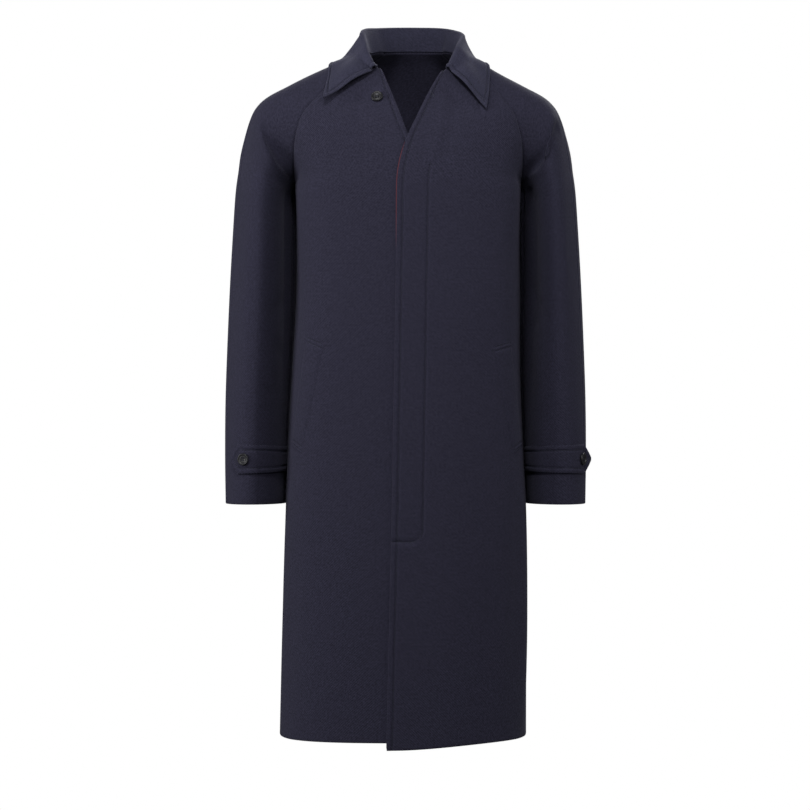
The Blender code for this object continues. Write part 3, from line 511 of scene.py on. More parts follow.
# %% Grids of the fronts, the back and the sleeves
FRONT_COLUMNS = 12
BACK_COLUMNS = 17
SLEEVE_COLUMNS = 10
HEM_DIP = 11.0
HEM_DIP_WIDTH = 200.0
LAP_FULL_SHARE = 0.30
LAP_FADE_SHARE = 0.50
SETTLE_FROM = 3
SETTLE_TO = 12.5
SETTLE_BLEND = 2.0
SETTLE_ROUNDS = 6
SETTLE_SEAM_SHARE = 0.30


def settle(grid, from_seam, stations):
    """Even out the rows beside the armholes, less and less towards the seam, as hanging cloth does."""
    hold = smooth(from_seam / SETTLE_SEAM_SHARE)[None, :, None]
    near = smooth((stations - SETTLE_FROM) / SETTLE_BLEND) * smooth((SETTLE_TO - stations) / SETTLE_BLEND)
    near = near[1:-1, None, None]
    for _ in range(SETTLE_ROUNDS):
        even = (grid[:-2] + 2 * grid[1:-1] + grid[2:]) / 4
        grid[1:-1] += (even - grid[1:-1]) * hold * near
    return grid


def front_grid(side):
    """Outer points of a front, a row for each section, from its edge to its side or raglan seam."""
    stations = stations_to(len(FRONT["turn"]) - 1)
    row = {name: along(column, stations) for name, column in FRONT.items()}
    middle = side * row["middle"]
    edge = side * (row["left_edge"] if side > 0 else row["right_edge"])
    centre = np.stack((middle, row["centre_y"], row["centre_z"]), axis=-1)
    seam = seam_points(FRONT, stations)
    seam[:, 0] += middle
    level = np.zeros(len(stations))
    start_arm = heading(level, level, row["centre_reach"])
    end_arm = -heading(row["turn"], row["rise"], row["seam_reach"])
    lines = curve_rows(centre, start_arm, end_arm, seam)
    grid = []
    for index, line in enumerate(lines):
        beyond = line[:0:-1] * (-1, 1, 1) + (2 * middle[index], 0, 0)
        line = np.concatenate((beyond, line))
        lengths = distances(line)
        begin = np.interp(edge[index], line[:, 0], lengths)
        points = even_points(line, FRONT_COLUMNS, begin)
        share = np.linspace(0, 1, FRONT_COLUMNS)
        fade = 1 - smooth((share - LAP_FULL_SHARE) / LAP_FADE_SHARE)
        points[:, 1] -= side * fade * (CLOTH + LAP_GAP) / 2
        grid.append(points)
    grid = settle(np.array(grid), np.linspace(1, 0, FRONT_COLUMNS), stations)
    if side > 0:
        from_edge = grid[-1, :, 0] - grid[-1, 0, 0]
        grid[-1, :, 2] -= HEM_DIP * (1 - smooth(from_edge / HEM_DIP_WIDTH))
    return grid * (side, 1, 1)


def back_grid():
    """Outer points of the back, from the right seam across to the left seam."""
    stations = stations_to(len(BACK["turn"]) - 1)
    row = {name: along(column, stations) for name, column in BACK.items()}
    middle = along(FRONT["middle"], stations)
    half_columns = BACK_COLUMNS // 2 + 1
    halves = {}
    for side in (-1, 1):
        centre = np.stack((side * middle, row["centre_y"], row["centre_z"]), axis=-1)
        seam = seam_points(BACK, stations)
        seam[:, 0] += side * middle
        level = np.zeros(len(stations))
        start_arm = heading(level, level, row["centre_reach"])
        end_arm = -heading(row["turn"], row["rise"], row["seam_reach"])
        lines = curve_rows(centre, start_arm, end_arm, seam)
        halves[side] = even_grid(lines, half_columns) * (side, 1, 1)
    grid = np.concatenate((halves[-1][:, ::-1], halves[1][:, 1:]), axis=1)
    return settle(grid, 1 - np.abs(np.linspace(-1, 1, grid.shape[1])), stations)


def sleeve_grids(side):
    """Outer points of the front and back of a sleeve, from the inner seam to the overarm seam."""
    stations = stations_to(len(OVERARM["x"]) - 1)
    row = {name: along(column, stations) for name, column in OVERARM.items()}
    overarm = np.stack((side * row["middle"] + row["x"], row["y"], row["z"]), axis=-1)
    upper = stations <= UNDERARM_ROW
    middle = along(FRONT["middle"], stations[upper])
    below = {}
    for name in UNDERARM:
        armpit = FRONT["middle" if name == "middle" else "seam_" + name][UNDERARM_ROW]
        column = np.concatenate(([armpit], UNDERARM[name]))
        below[name] = along(column, stations[~upper] - UNDERARM_ROW)
    lower = np.stack((side * below["middle"] + below["x"], below["y"], below["z"]), axis=-1)
    flat = np.zeros(len(stations))
    grids = []
    for source, part in ((FRONT, "front"), (BACK, "back")):
        seam = seam_points(source, stations[upper])
        seam[:, 0] += side * middle
        inner = np.concatenate((seam, lower))
        leave = heading(row[part + "_turn"], row[part + "_rise"], row[part + "_reach"])
        cross = heading(row["cross_turn"], flat, row[part + "_arrive"])
        arrive = -cross if part == "front" else cross
        lines = curve_rows(inner, leave, arrive, overarm)
        grids.append(even_grid(lines, SLEEVE_COLUMNS) * (side, 1, 1))
    return grids


coarse = {"front_left": front_grid(1), "front_right": front_grid(-1), "back": back_grid()}
coarse["sleeve_front_left"], coarse["sleeve_back_left"] = sleeve_grids(1)
coarse["sleeve_front_right"], coarse["sleeve_back_right"] = sleeve_grids(-1)
print("panels:", ", ".join(coarse))

# %% Directions out of a grid, and its folds
FOLD_SEAM_SHARE = 0.15
FOLD_STEPS = 40
FOLD_FADE = 0.5
BODY_MIDDLE_DROP = 60.0
SLEEVE_MIDDLE_DROP = 40.0


def grid_normals(grid, middle):
    """Directions out of a grid, away from the line of middle points given for its rows."""
    across = np.gradient(grid, axis=1)
    down = np.gradient(grid, axis=0)
    normals = unit(np.cross(across, down))
    outward = np.sum(normals * (grid - middle[:, None]), axis=-1)
    return normals * (1 if outward.mean() > 0 else -1)


def grid_at(grid, row, share):
    """A point of a grid at a fractional row and a share of its columns, between its four neighbours."""
    column = share * (grid.shape[1] - 1)
    low_row = min(int(row), grid.shape[0] - 2)
    low_column = min(int(column), grid.shape[1] - 2)
    down = row - low_row
    right = column - low_column
    near = grid[low_row, low_column] * (1 - right) + grid[low_row, low_column + 1] * right
    far = grid[low_row + 1, low_column] * (1 - right) + grid[low_row + 1, low_column + 1] * right
    return near * (1 - down) + far * down


def fold_line(grid, stations, fold):
    """Points of one fold on a coarse panel."""
    steps = np.linspace(0, 1, FOLD_STEPS)
    rows = fold["from_row"] + (fold["to_row"] - fold["from_row"]) * steps
    shares = fold["from_share"] + (fold["to_share"] - fold["from_share"]) * steps
    shares = shares + fold.get("bow", 0.0) * np.sin(np.pi * steps)
    places = np.interp(rows, stations, np.arange(len(stations)))
    return np.array([grid_at(grid, place, share) for place, share in zip(places, shares)])


def fold_heights(points, grid, stations, folds, fade_power):
    """How far points on a panel are moved out by its folds, which fade towards both ends."""
    heights = np.zeros(points.shape[:2])
    fade = np.sin(np.pi * np.linspace(0, 1, FOLD_STEPS)) ** fade_power
    for index in range(len(folds["depth"])):
        fold = {name: column[index] for name, column in folds.items()}
        away = np.linalg.norm(points[:, :, None] - fold_line(grid, stations, fold), axis=-1)
        nearest = away.argmin(axis=-1)
        heights += fold["depth"] * fade[nearest] * bell(away.min(axis=-1), fold["width"])
    return heights


def add_folds(grid, normals, folds, stations):
    """Raise or sink a grid along its fold lines, but not at its seams."""
    columns = np.linspace(0, 1, grid.shape[1])
    held = smooth(np.minimum(columns, 1 - columns) / FOLD_SEAM_SHARE)
    heights = fold_heights(grid, grid, stations, folds, FOLD_FADE)
    return grid + normals * (heights * held)[..., None]


BODY_STATIONS = stations_to(len(FRONT["turn"]) - 1)
SLEEVE_STATIONS = stations_to(len(OVERARM["x"]) - 1)


def panel_middles(grids, name):
    """The middle points that a panel's rows face away from."""
    if not name.startswith("sleeve"):
        middle = np.zeros((len(grids["back"]), 3))
        middle[:, 0] = grids["back"][:, grids["back"].shape[1] // 2, 0]
        middle[:, 2] = grids["back"][:, grids["back"].shape[1] // 2, 2] - BODY_MIDDLE_DROP
        return middle
    word = name.rsplit("_", 1)[1]
    both = np.concatenate((grids["sleeve_front_" + word], grids["sleeve_back_" + word]), axis=1)
    middle = both.mean(axis=1)
    middle[: len(middle) // 2, 2] -= SLEEVE_MIDDLE_DROP
    return middle


coarse_normals = {}
for panel, panel_points in coarse.items():
    stations = SLEEVE_STATIONS if panel.startswith("sleeve") else BODY_STATIONS
    facing = grid_normals(panel_points, panel_middles(coarse, panel))
    if panel in FOLDS:
        coarse[panel] = add_folds(panel_points, facing, FOLDS[panel], stations)
        facing = grid_normals(coarse[panel], panel_middles(coarse, panel))
    coarse_normals[panel] = facing
print("folded panels:", ", ".join(FOLDS))

# %% [markdown]
# ## Finer panels
# The grids above are as coarse as the solids. A smooth curve through their points gives rows a few
# millimetres apart, so that creases have room. Across a panel the points crowd together at seams,
# edges and rows of stitches, where the cloth changes within a millimetre or two. At the underarm the
# seam has a real corner, so the curves beside it are made in two parts that meet there.

# %% Finer rows and columns
UPPER_ROWS = 58
ROW_STEP = 6.0
EDGE_STITCH = 8.0
FLY_STITCH = 46.0
FLY_TOP_Z = -147.0
FLY_BOTTOM_Z = -717.0
FLY_CORNER = 16.0
EDGE_MARKS = (0, 1.0, 2.4, 4.2, 6.0, 7.2, 8.0, 8.8, 10.0, 12.5, 16.0)
FLY_MARKS = (41.0, 43.5, 45.0, 46.0, 47.0, 48.5, 51.0)
SEAM_MARKS = (0, 0.8, 2.0, 4.0, 7.0, 11.0)
FLY_ROW_OFFSETS = (-3.0, -1.0, 0.0, 1.0, 3.0)
FLY_ROOM = 70.0
FLY_ROOM_START = 20.0
CORNER_COLUMNS = 2.5
RELAX_FROM = 4.5
RELAX_TO = 12.5
RELAX_BLEND = 2.0
RELAX_SEAM = 0.35
RELAX_STEP = 0.6
RELAX_ROUNDS = 22
STATION_SAMPLES = 3000


def hermite(points, knots, marks):
    """Points of a smooth curve through rows of points, at marks between the knots."""
    slopes = np.gradient(points, knots, axis=0)
    low = np.clip(np.searchsorted(knots, marks, side="right") - 1, 0, len(knots) - 2)
    fit = (-1,) + (1,) * (points.ndim - 1)
    width = (knots[low + 1] - knots[low]).reshape(fit)
    step = (marks - knots[low]).reshape(fit) / width
    near = points[low] * (2 * step**3 - 3 * step**2 + 1)
    near = near + slopes[low] * width * (step**3 - 2 * step**2 + step)
    far = points[low + 1] * (3 * step**2 - 2 * step**3)
    far = far + slopes[low + 1] * width * (step**3 - step**2)
    return near + far


def stations_at(column, levels):
    """The stations below the underarm where a column of heights reaches the levels."""
    stations = np.linspace(UNDERARM_ROW, len(column) - 1, STATION_SAMPLES)
    return np.interp(-np.asarray(levels), -along(column, stations), stations)


def row_marks(column, extra=()):
    """Stations of the fine rows: close ones down to the underarm, then one every few millimetres."""
    top = column[UNDERARM_ROW]
    levels = np.arange(top - ROW_STEP, column[-1] + ROW_STEP / 2, -ROW_STEP)
    levels = np.array([level for level in levels if all(abs(level - own) > ROW_STEP / 2 for own in extra)])
    levels = np.concatenate((levels[levels > column[-1] + ROW_STEP / 2], [column[-1]], extra))
    lower = stations_at(column, np.sort(levels)[::-1])
    return np.concatenate((np.linspace(0, UNDERARM_ROW, UPPER_ROWS), lower))


def finer_rows(grid, stations, marks, seam_columns):
    """A grid with rows at the marks, that keeps the corner of its seam at the underarm."""
    corner = int(np.searchsorted(stations, UNDERARM_ROW))
    even = hermite(grid, stations, marks)
    upper = hermite(grid[: corner + 1], stations[: corner + 1], marks[marks <= UNDERARM_ROW])
    lower = hermite(grid[corner:], stations[corner:], marks[marks > UNDERARM_ROW])
    cornered = np.concatenate((upper, lower))
    columns = np.arange(grid.shape[1])
    away = np.min([np.abs(columns - column % grid.shape[1]) for column in seam_columns], axis=0)
    hold = np.clip(1 - away / CORNER_COLUMNS, 0, 1)[None, :, None]
    return even + (cornered - even) * hold


def marks_across(length, start, inner, end, counts):
    """Distances of the fine columns along a row: fixed ones at its ends, even ones between."""
    groups = [np.array(start)]
    if inner:
        groups.append(np.array(inner) * min(1.0, (length - FLY_ROOM_START) / FLY_ROOM))
    groups.append(length - np.array(end)[::-1])
    marks = [groups[0]]
    for before, after, count in zip(groups, groups[1:], counts):
        marks.append(np.linspace(before[-1], after[0], count + 2)[1:-1])
        marks.append(after)
    return np.concatenate(marks)


def finer_columns(rows, start, inner, end, counts):
    """A grid with the fine columns, and the distance of each point along its row."""
    fine = []
    reach = []
    for line in rows:
        lengths = distances(line)
        marks = marks_across(lengths[-1], start, inner, end, counts)
        fine.append(hermite(line, lengths, marks))
        reach.append(marks)
    return np.array(fine), np.array(reach)


def relax(grid, marks):
    """A sleeve's front, whose cap flows softly into its tube, away from the seams."""
    rows = smooth((marks - RELAX_FROM) / RELAX_BLEND) * smooth((RELAX_TO - marks) / RELAX_BLEND)
    shares = np.linspace(0, 1, grid.shape[1])
    columns = smooth(shares / RELAX_SEAM) * smooth((1 - shares) / RELAX_SEAM)
    hold = RELAX_STEP * (rows[:, None] * columns)[1:-1, 1:-1, None]
    for _ in range(RELAX_ROUNDS):
        even = (grid[:-2, 1:-1] + grid[2:, 1:-1] + grid[1:-1, :-2] + grid[1:-1, 2:]) / 4
        grid[1:-1, 1:-1] += (even - grid[1:-1, 1:-1]) * hold
    return grid


fly_levels = [FLY_BOTTOM_Z + offset for offset in FLY_ROW_OFFSETS]
BODY_MARKS = row_marks(FRONT["centre_z"], fly_levels)
SLEEVE_MARKS = row_marks(OVERARM["z"])
# Seam columns, marks at the start, inside and at the end of a row, and the even columns between them
PANEL_PLANS = {
    "front_left": ((-1,), EDGE_MARKS, FLY_MARKS, SEAM_MARKS, (5, 34)),
    "front_right": ((-1,), EDGE_MARKS, None, SEAM_MARKS, (44,)),
    "back": ((0, -1), SEAM_MARKS, None, SEAM_MARKS, (88,)),
    "sleeve": ((0,), SEAM_MARKS, None, SEAM_MARKS, (28,)),
}
panels = {}
reaches = {}
for panel, panel_points in coarse.items():
    sleeve = panel.startswith("sleeve")
    seams, start, inner, end, counts = PANEL_PLANS["sleeve" if sleeve else panel]
    stations, marks = (SLEEVE_STATIONS, SLEEVE_MARKS) if sleeve else (BODY_STATIONS, BODY_MARKS)
    fine_rows = finer_rows(panel_points, stations, marks, seams)
    panels[panel], reaches[panel] = finer_columns(fine_rows, start, inner, end, counts)
    if panel.startswith("sleeve_front"):
        panels[panel] = relax(panels[panel], SLEEVE_MARKS)
# The smooth panels are kept, because the cuff tabs and the neck button are placed on them
plain = dict(panels)
print("fine points:", sum(points.shape[0] * points.shape[1] for points in panels.values()))

# %% [markdown]
# ## Creases
# Wool this thick makes few, soft folds. Each one is a line on its panel, from one section and share of
# the width to another, with its own bow, depth and width, all in millimetres. A positive depth is a
# ridge, a negative one a trough. Round the armholes the cloth is dragged into short deep ones; below,
# long shallow ones hang from the chest, the top of the back and the pockets.

# %% Creases placed one by one
CREASE_FADE = 0.6
CREASE_NAMES = "from_row from_share to_row to_share bow depth width"
CREASES = {
    "sleeve_front_left": table(
        CREASE_NAMES,
        (7.3, 0.06, 7.6, 0.92, 0.03, -4.0, 10),
        (6.4, 0.06, 5.7, 0.62, 0.03, 1.8, 12),
        (6.6, 0.72, 8.6, 0.90, 0.06, 1.3, 6),
        (9.8, 0.16, 15.3, 0.18, 0.02, -5.0, 20),
        (9.3, 0.06, 9.9, 0.50, 0.08, -1.6, 9),
        (10.2, 0.62, 15.2, 0.55, 0.03, 1.6, 17),
        (10.8, 0.28, 14.2, 0.33, -0.03, -1.5, 14),
        (12.9, 0.04, 13.7, 0.50, 0.06, -1.6, 11),
        (13.8, 0.05, 13.5, 0.42, -0.04, -1.2, 9),
        (15.4, 0.10, 15.0, 0.60, 0.05, -1.0, 11),
    ),
    "sleeve_front_right": table(
        CREASE_NAMES,
        (6.2, 0.05, 6.2, 0.72, 0.03, -1.5, 8),
        (7.5, 0.30, 6.6, 0.88, 0.04, 1.2, 11),
        (9.8, 0.11, 14.9, 0.12, 0.02, -3.8, 13),
        (8.9, 0.08, 9.7, 0.60, 0.06, -1.5, 10),
        (10.0, 0.47, 14.8, 0.46, 0.01, 3.6, 20),
        (9.9, 0.31, 14.8, 0.33, 0.01, 3.0, 18),
        (13.1, 0.04, 13.6, 0.46, 0.06, -1.5, 10),
        (14.3, 0.06, 13.9, 0.52, -0.05, -1.2, 11),
    ),
    "sleeve_back_left": table(
        CREASE_NAMES,
        (9.0, 0.10, 10.5, 0.11, 0.0, 3.8, 12),
        (7.6, 0.10, 6.4, 0.72, 0.05, -3.0, 13),
        (8.7, 0.08, 9.0, 0.66, -0.04, 2.0, 13),
        (10.4, 0.55, 13.2, 0.50, 0.05, 2.0, 22),
        (13.0, 0.06, 13.4, 0.62, 0.05, -2.2, 13),
        (13.8, 0.10, 14.0, 0.55, -0.05, -1.8, 12),
    ),
    "sleeve_back_right": table(
        CREASE_NAMES,
        (9.0, 0.10, 10.5, 0.11, 0.0, 3.8, 12),
        (7.3, 0.12, 6.2, 0.78, 0.04, -2.8, 14),
        (8.4, 0.10, 8.8, 0.60, -0.03, 1.9, 12),
        (10.6, 0.52, 13.6, 0.48, 0.05, 1.9, 21),
        (12.8, 0.05, 13.3, 0.58, 0.06, -2.0, 12),
        (14.1, 0.10, 14.2, 0.60, -0.05, -1.7, 13),
    ),
    "front_left": table(
        CREASE_NAMES,
        (0.5, 0.34, 2.9, 0.74, 0.0, 2.5, 8),
        (0.8, 0.18, 3.1, 0.58, 0.0, -3.0, 9),
        (1.0, 0.26, 6.6, 0.20, 0.03, 1.3, 6),
        (0.8, 0.42, 6.2, 0.28, 0.03, -1.3, 7),
        (5.6, 0.93, 8.6, 0.78, 0.02, -1.4, 13),
        (11.5, 0.70, 15.0, 0.73, 0.02, -1.4, 22),
        (14.2, 0.42, 17.9, 0.46, -0.02, -1.3, 26),
        (15.6, 0.68, 18.0, 0.64, 0.02, -2.2, 22),
        (16.0, 0.94, 18.0, 0.91, 0.01, -1.8, 16),
    ),
    "front_right": table(
        CREASE_NAMES,
        (0.6, 0.32, 2.8, 0.86, 0.0, 3.0, 9),
        (1.3, 0.30, 3.3, 0.76, 0.0, -3.0, 10),
        (0.9, 0.55, 4.6, 0.34, 0.03, -1.2, 6),
        (5.4, 0.93, 8.4, 0.80, 0.02, -1.3, 13),
        (11.8, 0.74, 15.2, 0.76, 0.02, -1.4, 22),
        (14.6, 0.50, 17.8, 0.54, -0.02, -1.5, 28),
        (15.4, 0.84, 18.0, 0.80, 0.01, 2.0, 24),
        (16.2, 0.66, 18.0, 0.70, 0.02, -1.6, 20),
    ),
    "back": table(
        CREASE_NAMES,
        (5.2, 0.08, 9.6, 0.17, 0.02, -2.2, 15),
        (5.4, 0.92, 9.8, 0.84, -0.02, -2.0, 16),
        (10.0, 0.30, 15.8, 0.27, 0.01, 2.4, 34),
        (9.6, 0.68, 15.2, 0.72, -0.01, 2.2, 36),
        (13.4, 0.40, 18.0, 0.37, 0.01, -3.0, 34),
        (13.8, 0.61, 18.0, 0.65, -0.01, -2.6, 32),
        (15.0, 0.16, 18.0, 0.13, 0.01, 2.8, 26),
        (15.3, 0.85, 18.0, 0.88, -0.01, 2.4, 25),
    ),
}


creases_made = 0
for panel in panels:
    stations = SLEEVE_STATIONS if panel.startswith("sleeve") else BODY_STATIONS
    heights = fold_heights(panels[panel], coarse[panel], stations, CREASES[panel], CREASE_FADE)
    shares = reaches[panel] / reaches[panel][:, -1:]
    seam_hold = smooth((1 - shares) / FOLD_SEAM_SHARE)
    if not panel.startswith("front"):
        seam_hold = seam_hold * smooth(shares / FOLD_SEAM_SHARE)
    facing = grid_normals(panels[panel], panel_middles(panels, panel))
    panels[panel] = panels[panel] + facing * (heights * seam_hold)[..., None]
    creases_made += len(CREASES[panel]["depth"])
print("creases:", creases_made)

# %% [markdown]
# ## Seams and rows of stitches
# A pressed seam is a narrow valley with a soft swelling on each side. A row of stitches pulls both layers
# of cloth together, so it lies in a shallow groove, and the edge beyond it is a little full. The fly's
# row runs down beside the front edge, turns a round corner below the last hidden button, and runs back
# to the edge.

# %% Sink the seams and the stitched lines
SEAM_DEPTH = 0.9
SEAM_WIDTH = 1.9
SEAM_SWELL = 0.35
SEAM_SWELL_AT = 6.0
SEAM_SWELL_WIDTH = 4.0
GROOVE_DEPTH = 1.15
GROOVE_WIDTH = 1.5
FLY_GROOVE = 1.7
EDGE_SWELL = 0.5
EDGE_SWELL_WIDTH = 2.4
NECK_EDGE_MORE = 0.6
NECK_EDGE_Z = -140.0
NECK_EDGE_BLEND = 50.0


def seam_heights(away):
    """The valley of a seam and the swelling beside it."""
    return SEAM_SWELL * bell(away - SEAM_SWELL_AT, SEAM_SWELL_WIDTH) - SEAM_DEPTH * bell(away, SEAM_WIDTH)


def stitched_edge_heights(away, inset, strength=1.0):
    """The groove of an edge's stitches and the fullness of the edge."""
    swelling = EDGE_SWELL * bell(away - inset / 2, EDGE_SWELL_WIDTH)
    return strength * (swelling - GROOVE_DEPTH * bell(away - inset, GROOVE_WIDTH))


def fly_distance(across, height):
    """How far points of the left front are from the fly's row of stitches."""
    centre_across = FLY_STITCH - FLY_CORNER
    centre_height = FLY_BOTTOM_Z + FLY_CORNER
    line = np.abs(across - FLY_STITCH)
    corner = np.abs(np.hypot(across - centre_across, height - centre_height) - FLY_CORNER)
    bottom = np.abs(height - FLY_BOTTOM_Z)
    below = np.where(across > centre_across, corner, bottom)
    away = np.where(height > centre_height, line, below)
    return np.where(height > FLY_TOP_Z, np.maximum(line, height - FLY_TOP_Z), away)


for panel, points in panels.items():
    reach = reaches[panel]
    from_end = reach[:, -1:] - reach
    heights = seam_heights(from_end)
    if panel.startswith("front"):
        strength = 1 + NECK_EDGE_MORE * smooth((points[:, :1, 2] - NECK_EDGE_Z) / NECK_EDGE_BLEND)
        heights = heights + stitched_edge_heights(reach, EDGE_STITCH, strength)
    else:
        heights = heights + seam_heights(reach)
    if panel == "front_left":
        heights = heights - FLY_GROOVE * bell(fly_distance(reach, points[..., 2]), GROOVE_WIDTH)
    facing = grid_normals(points, panel_middles(panels, panel))
    panels[panel] = points + facing * heights[..., None]
print("seams sunk by", SEAM_DEPTH, "mm")

# %% [markdown]
# ## From grids to cloth
# Two panels that are sewn together must face the same way at their seam, or the wall's edges would show
# a step. So their directions are made equal there, and each panel reaches a hair past the seam. Then
# the wall gets its thickness, and its rim a round profile, like the fold of a turned edge.

# %% Join the seams
ARMPIT = UPPER_ROWS - 1
SEAM_OVERLAP = 0.12


def share_seam(*borders):
    """Give the borders that meet in a seam one common direction."""
    common = unit(sum(borders))
    for border in borders:
        border[...] = common


def close_seam(grid, normals, column):
    """Move a border column a hair past its seam, so that no light comes through."""
    edge = grid[:, column]
    run = unit(np.gradient(edge, axis=0))
    step = grid[:, 1 if column == 0 else -2] - edge
    for direction in (normals[:, column], run):
        step = step - np.sum(step * direction, axis=-1, keepdims=True) * direction
    edge -= unit(step) * SEAM_OVERLAP / 2


normals = {panel: grid_normals(points, panel_middles(panels, panel)) for panel, points in panels.items()}
for word, back_column in (("left", -1), ("right", 0)):
    front = normals["front_" + word][:, -1]
    back = normals["back"][:, back_column]
    sleeve_front = normals["sleeve_front_" + word]
    sleeve_back = normals["sleeve_back_" + word]
    share_seam(front[:ARMPIT], sleeve_front[:ARMPIT, 0])
    share_seam(back[:ARMPIT], sleeve_back[:ARMPIT, 0])
    share_seam(front[ARMPIT + 1:], back[ARMPIT + 1:])
    share_seam(sleeve_front[ARMPIT + 1:, 0], sleeve_back[ARMPIT + 1:, 0])
    share_seam(front[ARMPIT], back[ARMPIT], sleeve_front[ARMPIT, 0], sleeve_back[ARMPIT, 0])
    share_seam(sleeve_front[:, -1], sleeve_back[:, -1])
for panel in panels:
    close_seam(panels[panel], normals[panel], -1)
    if not panel.startswith("front"):
        close_seam(panels[panel], normals[panel], 0)
print("seams joined, overlap", SEAM_OVERLAP, "mm")

# %% Wall with a round rim
RIM_ANGLES = (45, 90, 135)
SEAM_RIM = 0.05


def border_places(rows, columns):
    """Row and column of each point round the border of a grid, with the side that it is on."""
    top = [(0, column, 0) for column in range(columns - 1)]
    right = [(row, columns - 1, 1) for row in range(rows - 1)]
    bottom = [(rows - 1, column, 2) for column in range(columns - 1, 0, -1)]
    left = [(row, 0, 3) for row in range(rows - 1, 0, -1)]
    return np.array(top + right + bottom + left)


def wall_faces(rows, columns, border):
    """Faces of the outer grid, the inner grid and the rim's rings."""
    index = np.arange(rows * columns).reshape(rows, columns)
    quads = np.stack((index[:-1, :-1], index[:-1, 1:], index[1:, 1:], index[1:, :-1]), axis=-1)
    quads = quads.reshape(-1, 4)
    count = rows * columns
    faces = [quads, quads[:, ::-1] + count]
    rings = [border]
    rings += [2 * count + step * len(border) + np.arange(len(border)) for step in range(len(RIM_ANGLES))]
    rings.append(border + count)
    for ring, after in zip(rings, rings[1:]):
        faces.append(np.stack((ring, after, np.roll(after, -1), np.roll(ring, -1)), axis=-1))
    return np.concatenate(faces)


def add_object(name, vertices, faces, finish, cloth_map=None):
    """A smooth mesh object with its faces turned outward, from points in millimetres."""
    mesh = bpy.data.meshes.new(name)
    mesh.from_pydata((np.asarray(vertices) * MM).tolist(), [], [list(map(int, face)) for face in faces])
    shape = bmesh.new()
    shape.from_mesh(mesh)
    bmesh.ops.recalc_face_normals(shape, faces=shape.faces)
    shape.to_mesh(mesh)
    shape.free()
    if cloth_map is not None:
        layer = mesh.uv_layers.new(name="cloth_map")
        corners = np.zeros(len(mesh.loops), dtype=np.int32)
        mesh.loops.foreach_get("vertex_index", corners)
        layer.data.foreach_set("uv", (np.asarray(cloth_map)[corners] * MM).astype(np.float32).ravel())
    mesh.shade_smooth()
    mesh.materials.append(finish)
    return add_to_scene(name, mesh)


def add_shell(name, outer, inner, cloth_map, rims, finish):
    """A closed wall between two grids; rims says how far each side's edge is rounded out."""
    rows, columns = outer.shape[:2]
    places = border_places(rows, columns)
    row, column, side = places.T
    near = outer[row, column]
    far = inner[row, column]
    inside = outer[np.clip(row, 1, rows - 2), np.clip(column, 1, columns - 2)]
    across = unit(near - far)
    outward = near - inside
    outward = unit(outward - np.sum(outward * across, axis=-1, keepdims=True) * across)
    swell = np.array(rims)[side][:, None]
    vertices = [outer.reshape(-1, 3), inner.reshape(-1, 3)]
    for angle in np.radians(RIM_ANGLES):
        ring = (near + far) / 2 + (near - far) / 2 * math.cos(angle)
        vertices.append(ring + outward * swell * math.sin(angle))
    border = row * columns + column
    flat_map = cloth_map.reshape(-1, 2)
    maps = np.concatenate((flat_map, flat_map) + (flat_map[border],) * len(RIM_ANGLES))
    return add_object(name, np.concatenate(vertices), wall_faces(rows, columns, border), finish, maps)


def settle_piece(piece, node):
    """Let a piece stand for a solid and move with the coat's one body."""
    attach(piece, "root")
    if node:
        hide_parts(node)


def cloth_area(piece):
    """Half the surface of a closed wall, in square metres."""
    return sum(face.area for face in piece.data.polygons) / 2


print("steps round a rim:", len(RIM_ANGLES) + 1)

# %% [markdown]
# ## The panels
# Fronts and back have free hems, the fronts have free front edges and the sleeves have free cuffs. Those
# rims are round; the rims in seams are flat, so that two panels close up.

# %% Cloth of the fronts, the back and the sleeves
FREE_RIM = CLOTH / 2
PANEL_RIMS = {
    "front": (SEAM_RIM, SEAM_RIM, FREE_RIM, FREE_RIM),
    "back": (SEAM_RIM, SEAM_RIM, FREE_RIM, SEAM_RIM),
    "sleeve": (SEAM_RIM, SEAM_RIM, FREE_RIM, SEAM_RIM),
}
cloth = {}
for panel, outer in panels.items():
    family = panel.split("_")[0]
    inner = outer - normals[panel] * CLOTH
    down = distances(outer[:, outer.shape[1] // 2])
    cloth_map = np.stack((reaches[panel], np.broadcast_to(-down[:, None], reaches[panel].shape)), axis=-1)
    piece = add_shell("cloth_" + panel, outer, inner, cloth_map, PANEL_RIMS[family], SHELL_WOOL)
    settle_piece(piece, panel)
    cloth[panel] = piece
    print(piece.name, len(piece.data.polygons), "faces,", round(cloth_area(piece), 4), "square metres")

# %% [markdown]
# ## The collar
# The collar is cut as two pieces: a stand, sewn to the neck seam, and a fall, which turns over on the
# roll line and ends in two pointed leaves. Its wool is the panels' navy wool painted a little lighter:
# painted light, for the light that falls on its upturned leaves. The edges of the fall are stitched 7 mm
# in, and the free ends of the leaves stand off the chest a little, which gives them their soft shadow.

# %% Grids of the collar
COLLAR_CLOTH = 3.0
ROLL_RADIUS = 4.6
ROLL_STEPS = 4
FALL_STEPS = 6
STAND_STEPS = 2
COLLAR_END_COLUMN = 3
COLLAR_CLEARANCE = 2.0
COLLAR_FOOT_GAP = 0.45
FALL_BEND_DOWN = 0.40
REFINE = 4
LIFT_ROUNDS = 3


def neck_seam(grids):
    """Points of the neck seam, from the right front round the back to the left front."""
    right_front = grids["front_right"][0, COLLAR_END_COLUMN::2]
    left_front = grids["front_left"][0, COLLAR_END_COLUMN::2]
    stretches = [
        right_front,
        grids["sleeve_front_right"][0, 1:-1:2],
        grids["sleeve_back_right"][0, ::-2],
        grids["back"][0, 1:-1:2],
        grids["sleeve_back_left"][0, ::2],
        grids["sleeve_front_left"][0, -2:0:-2],
        left_front[::-1],
    ]
    return np.concatenate(stretches)


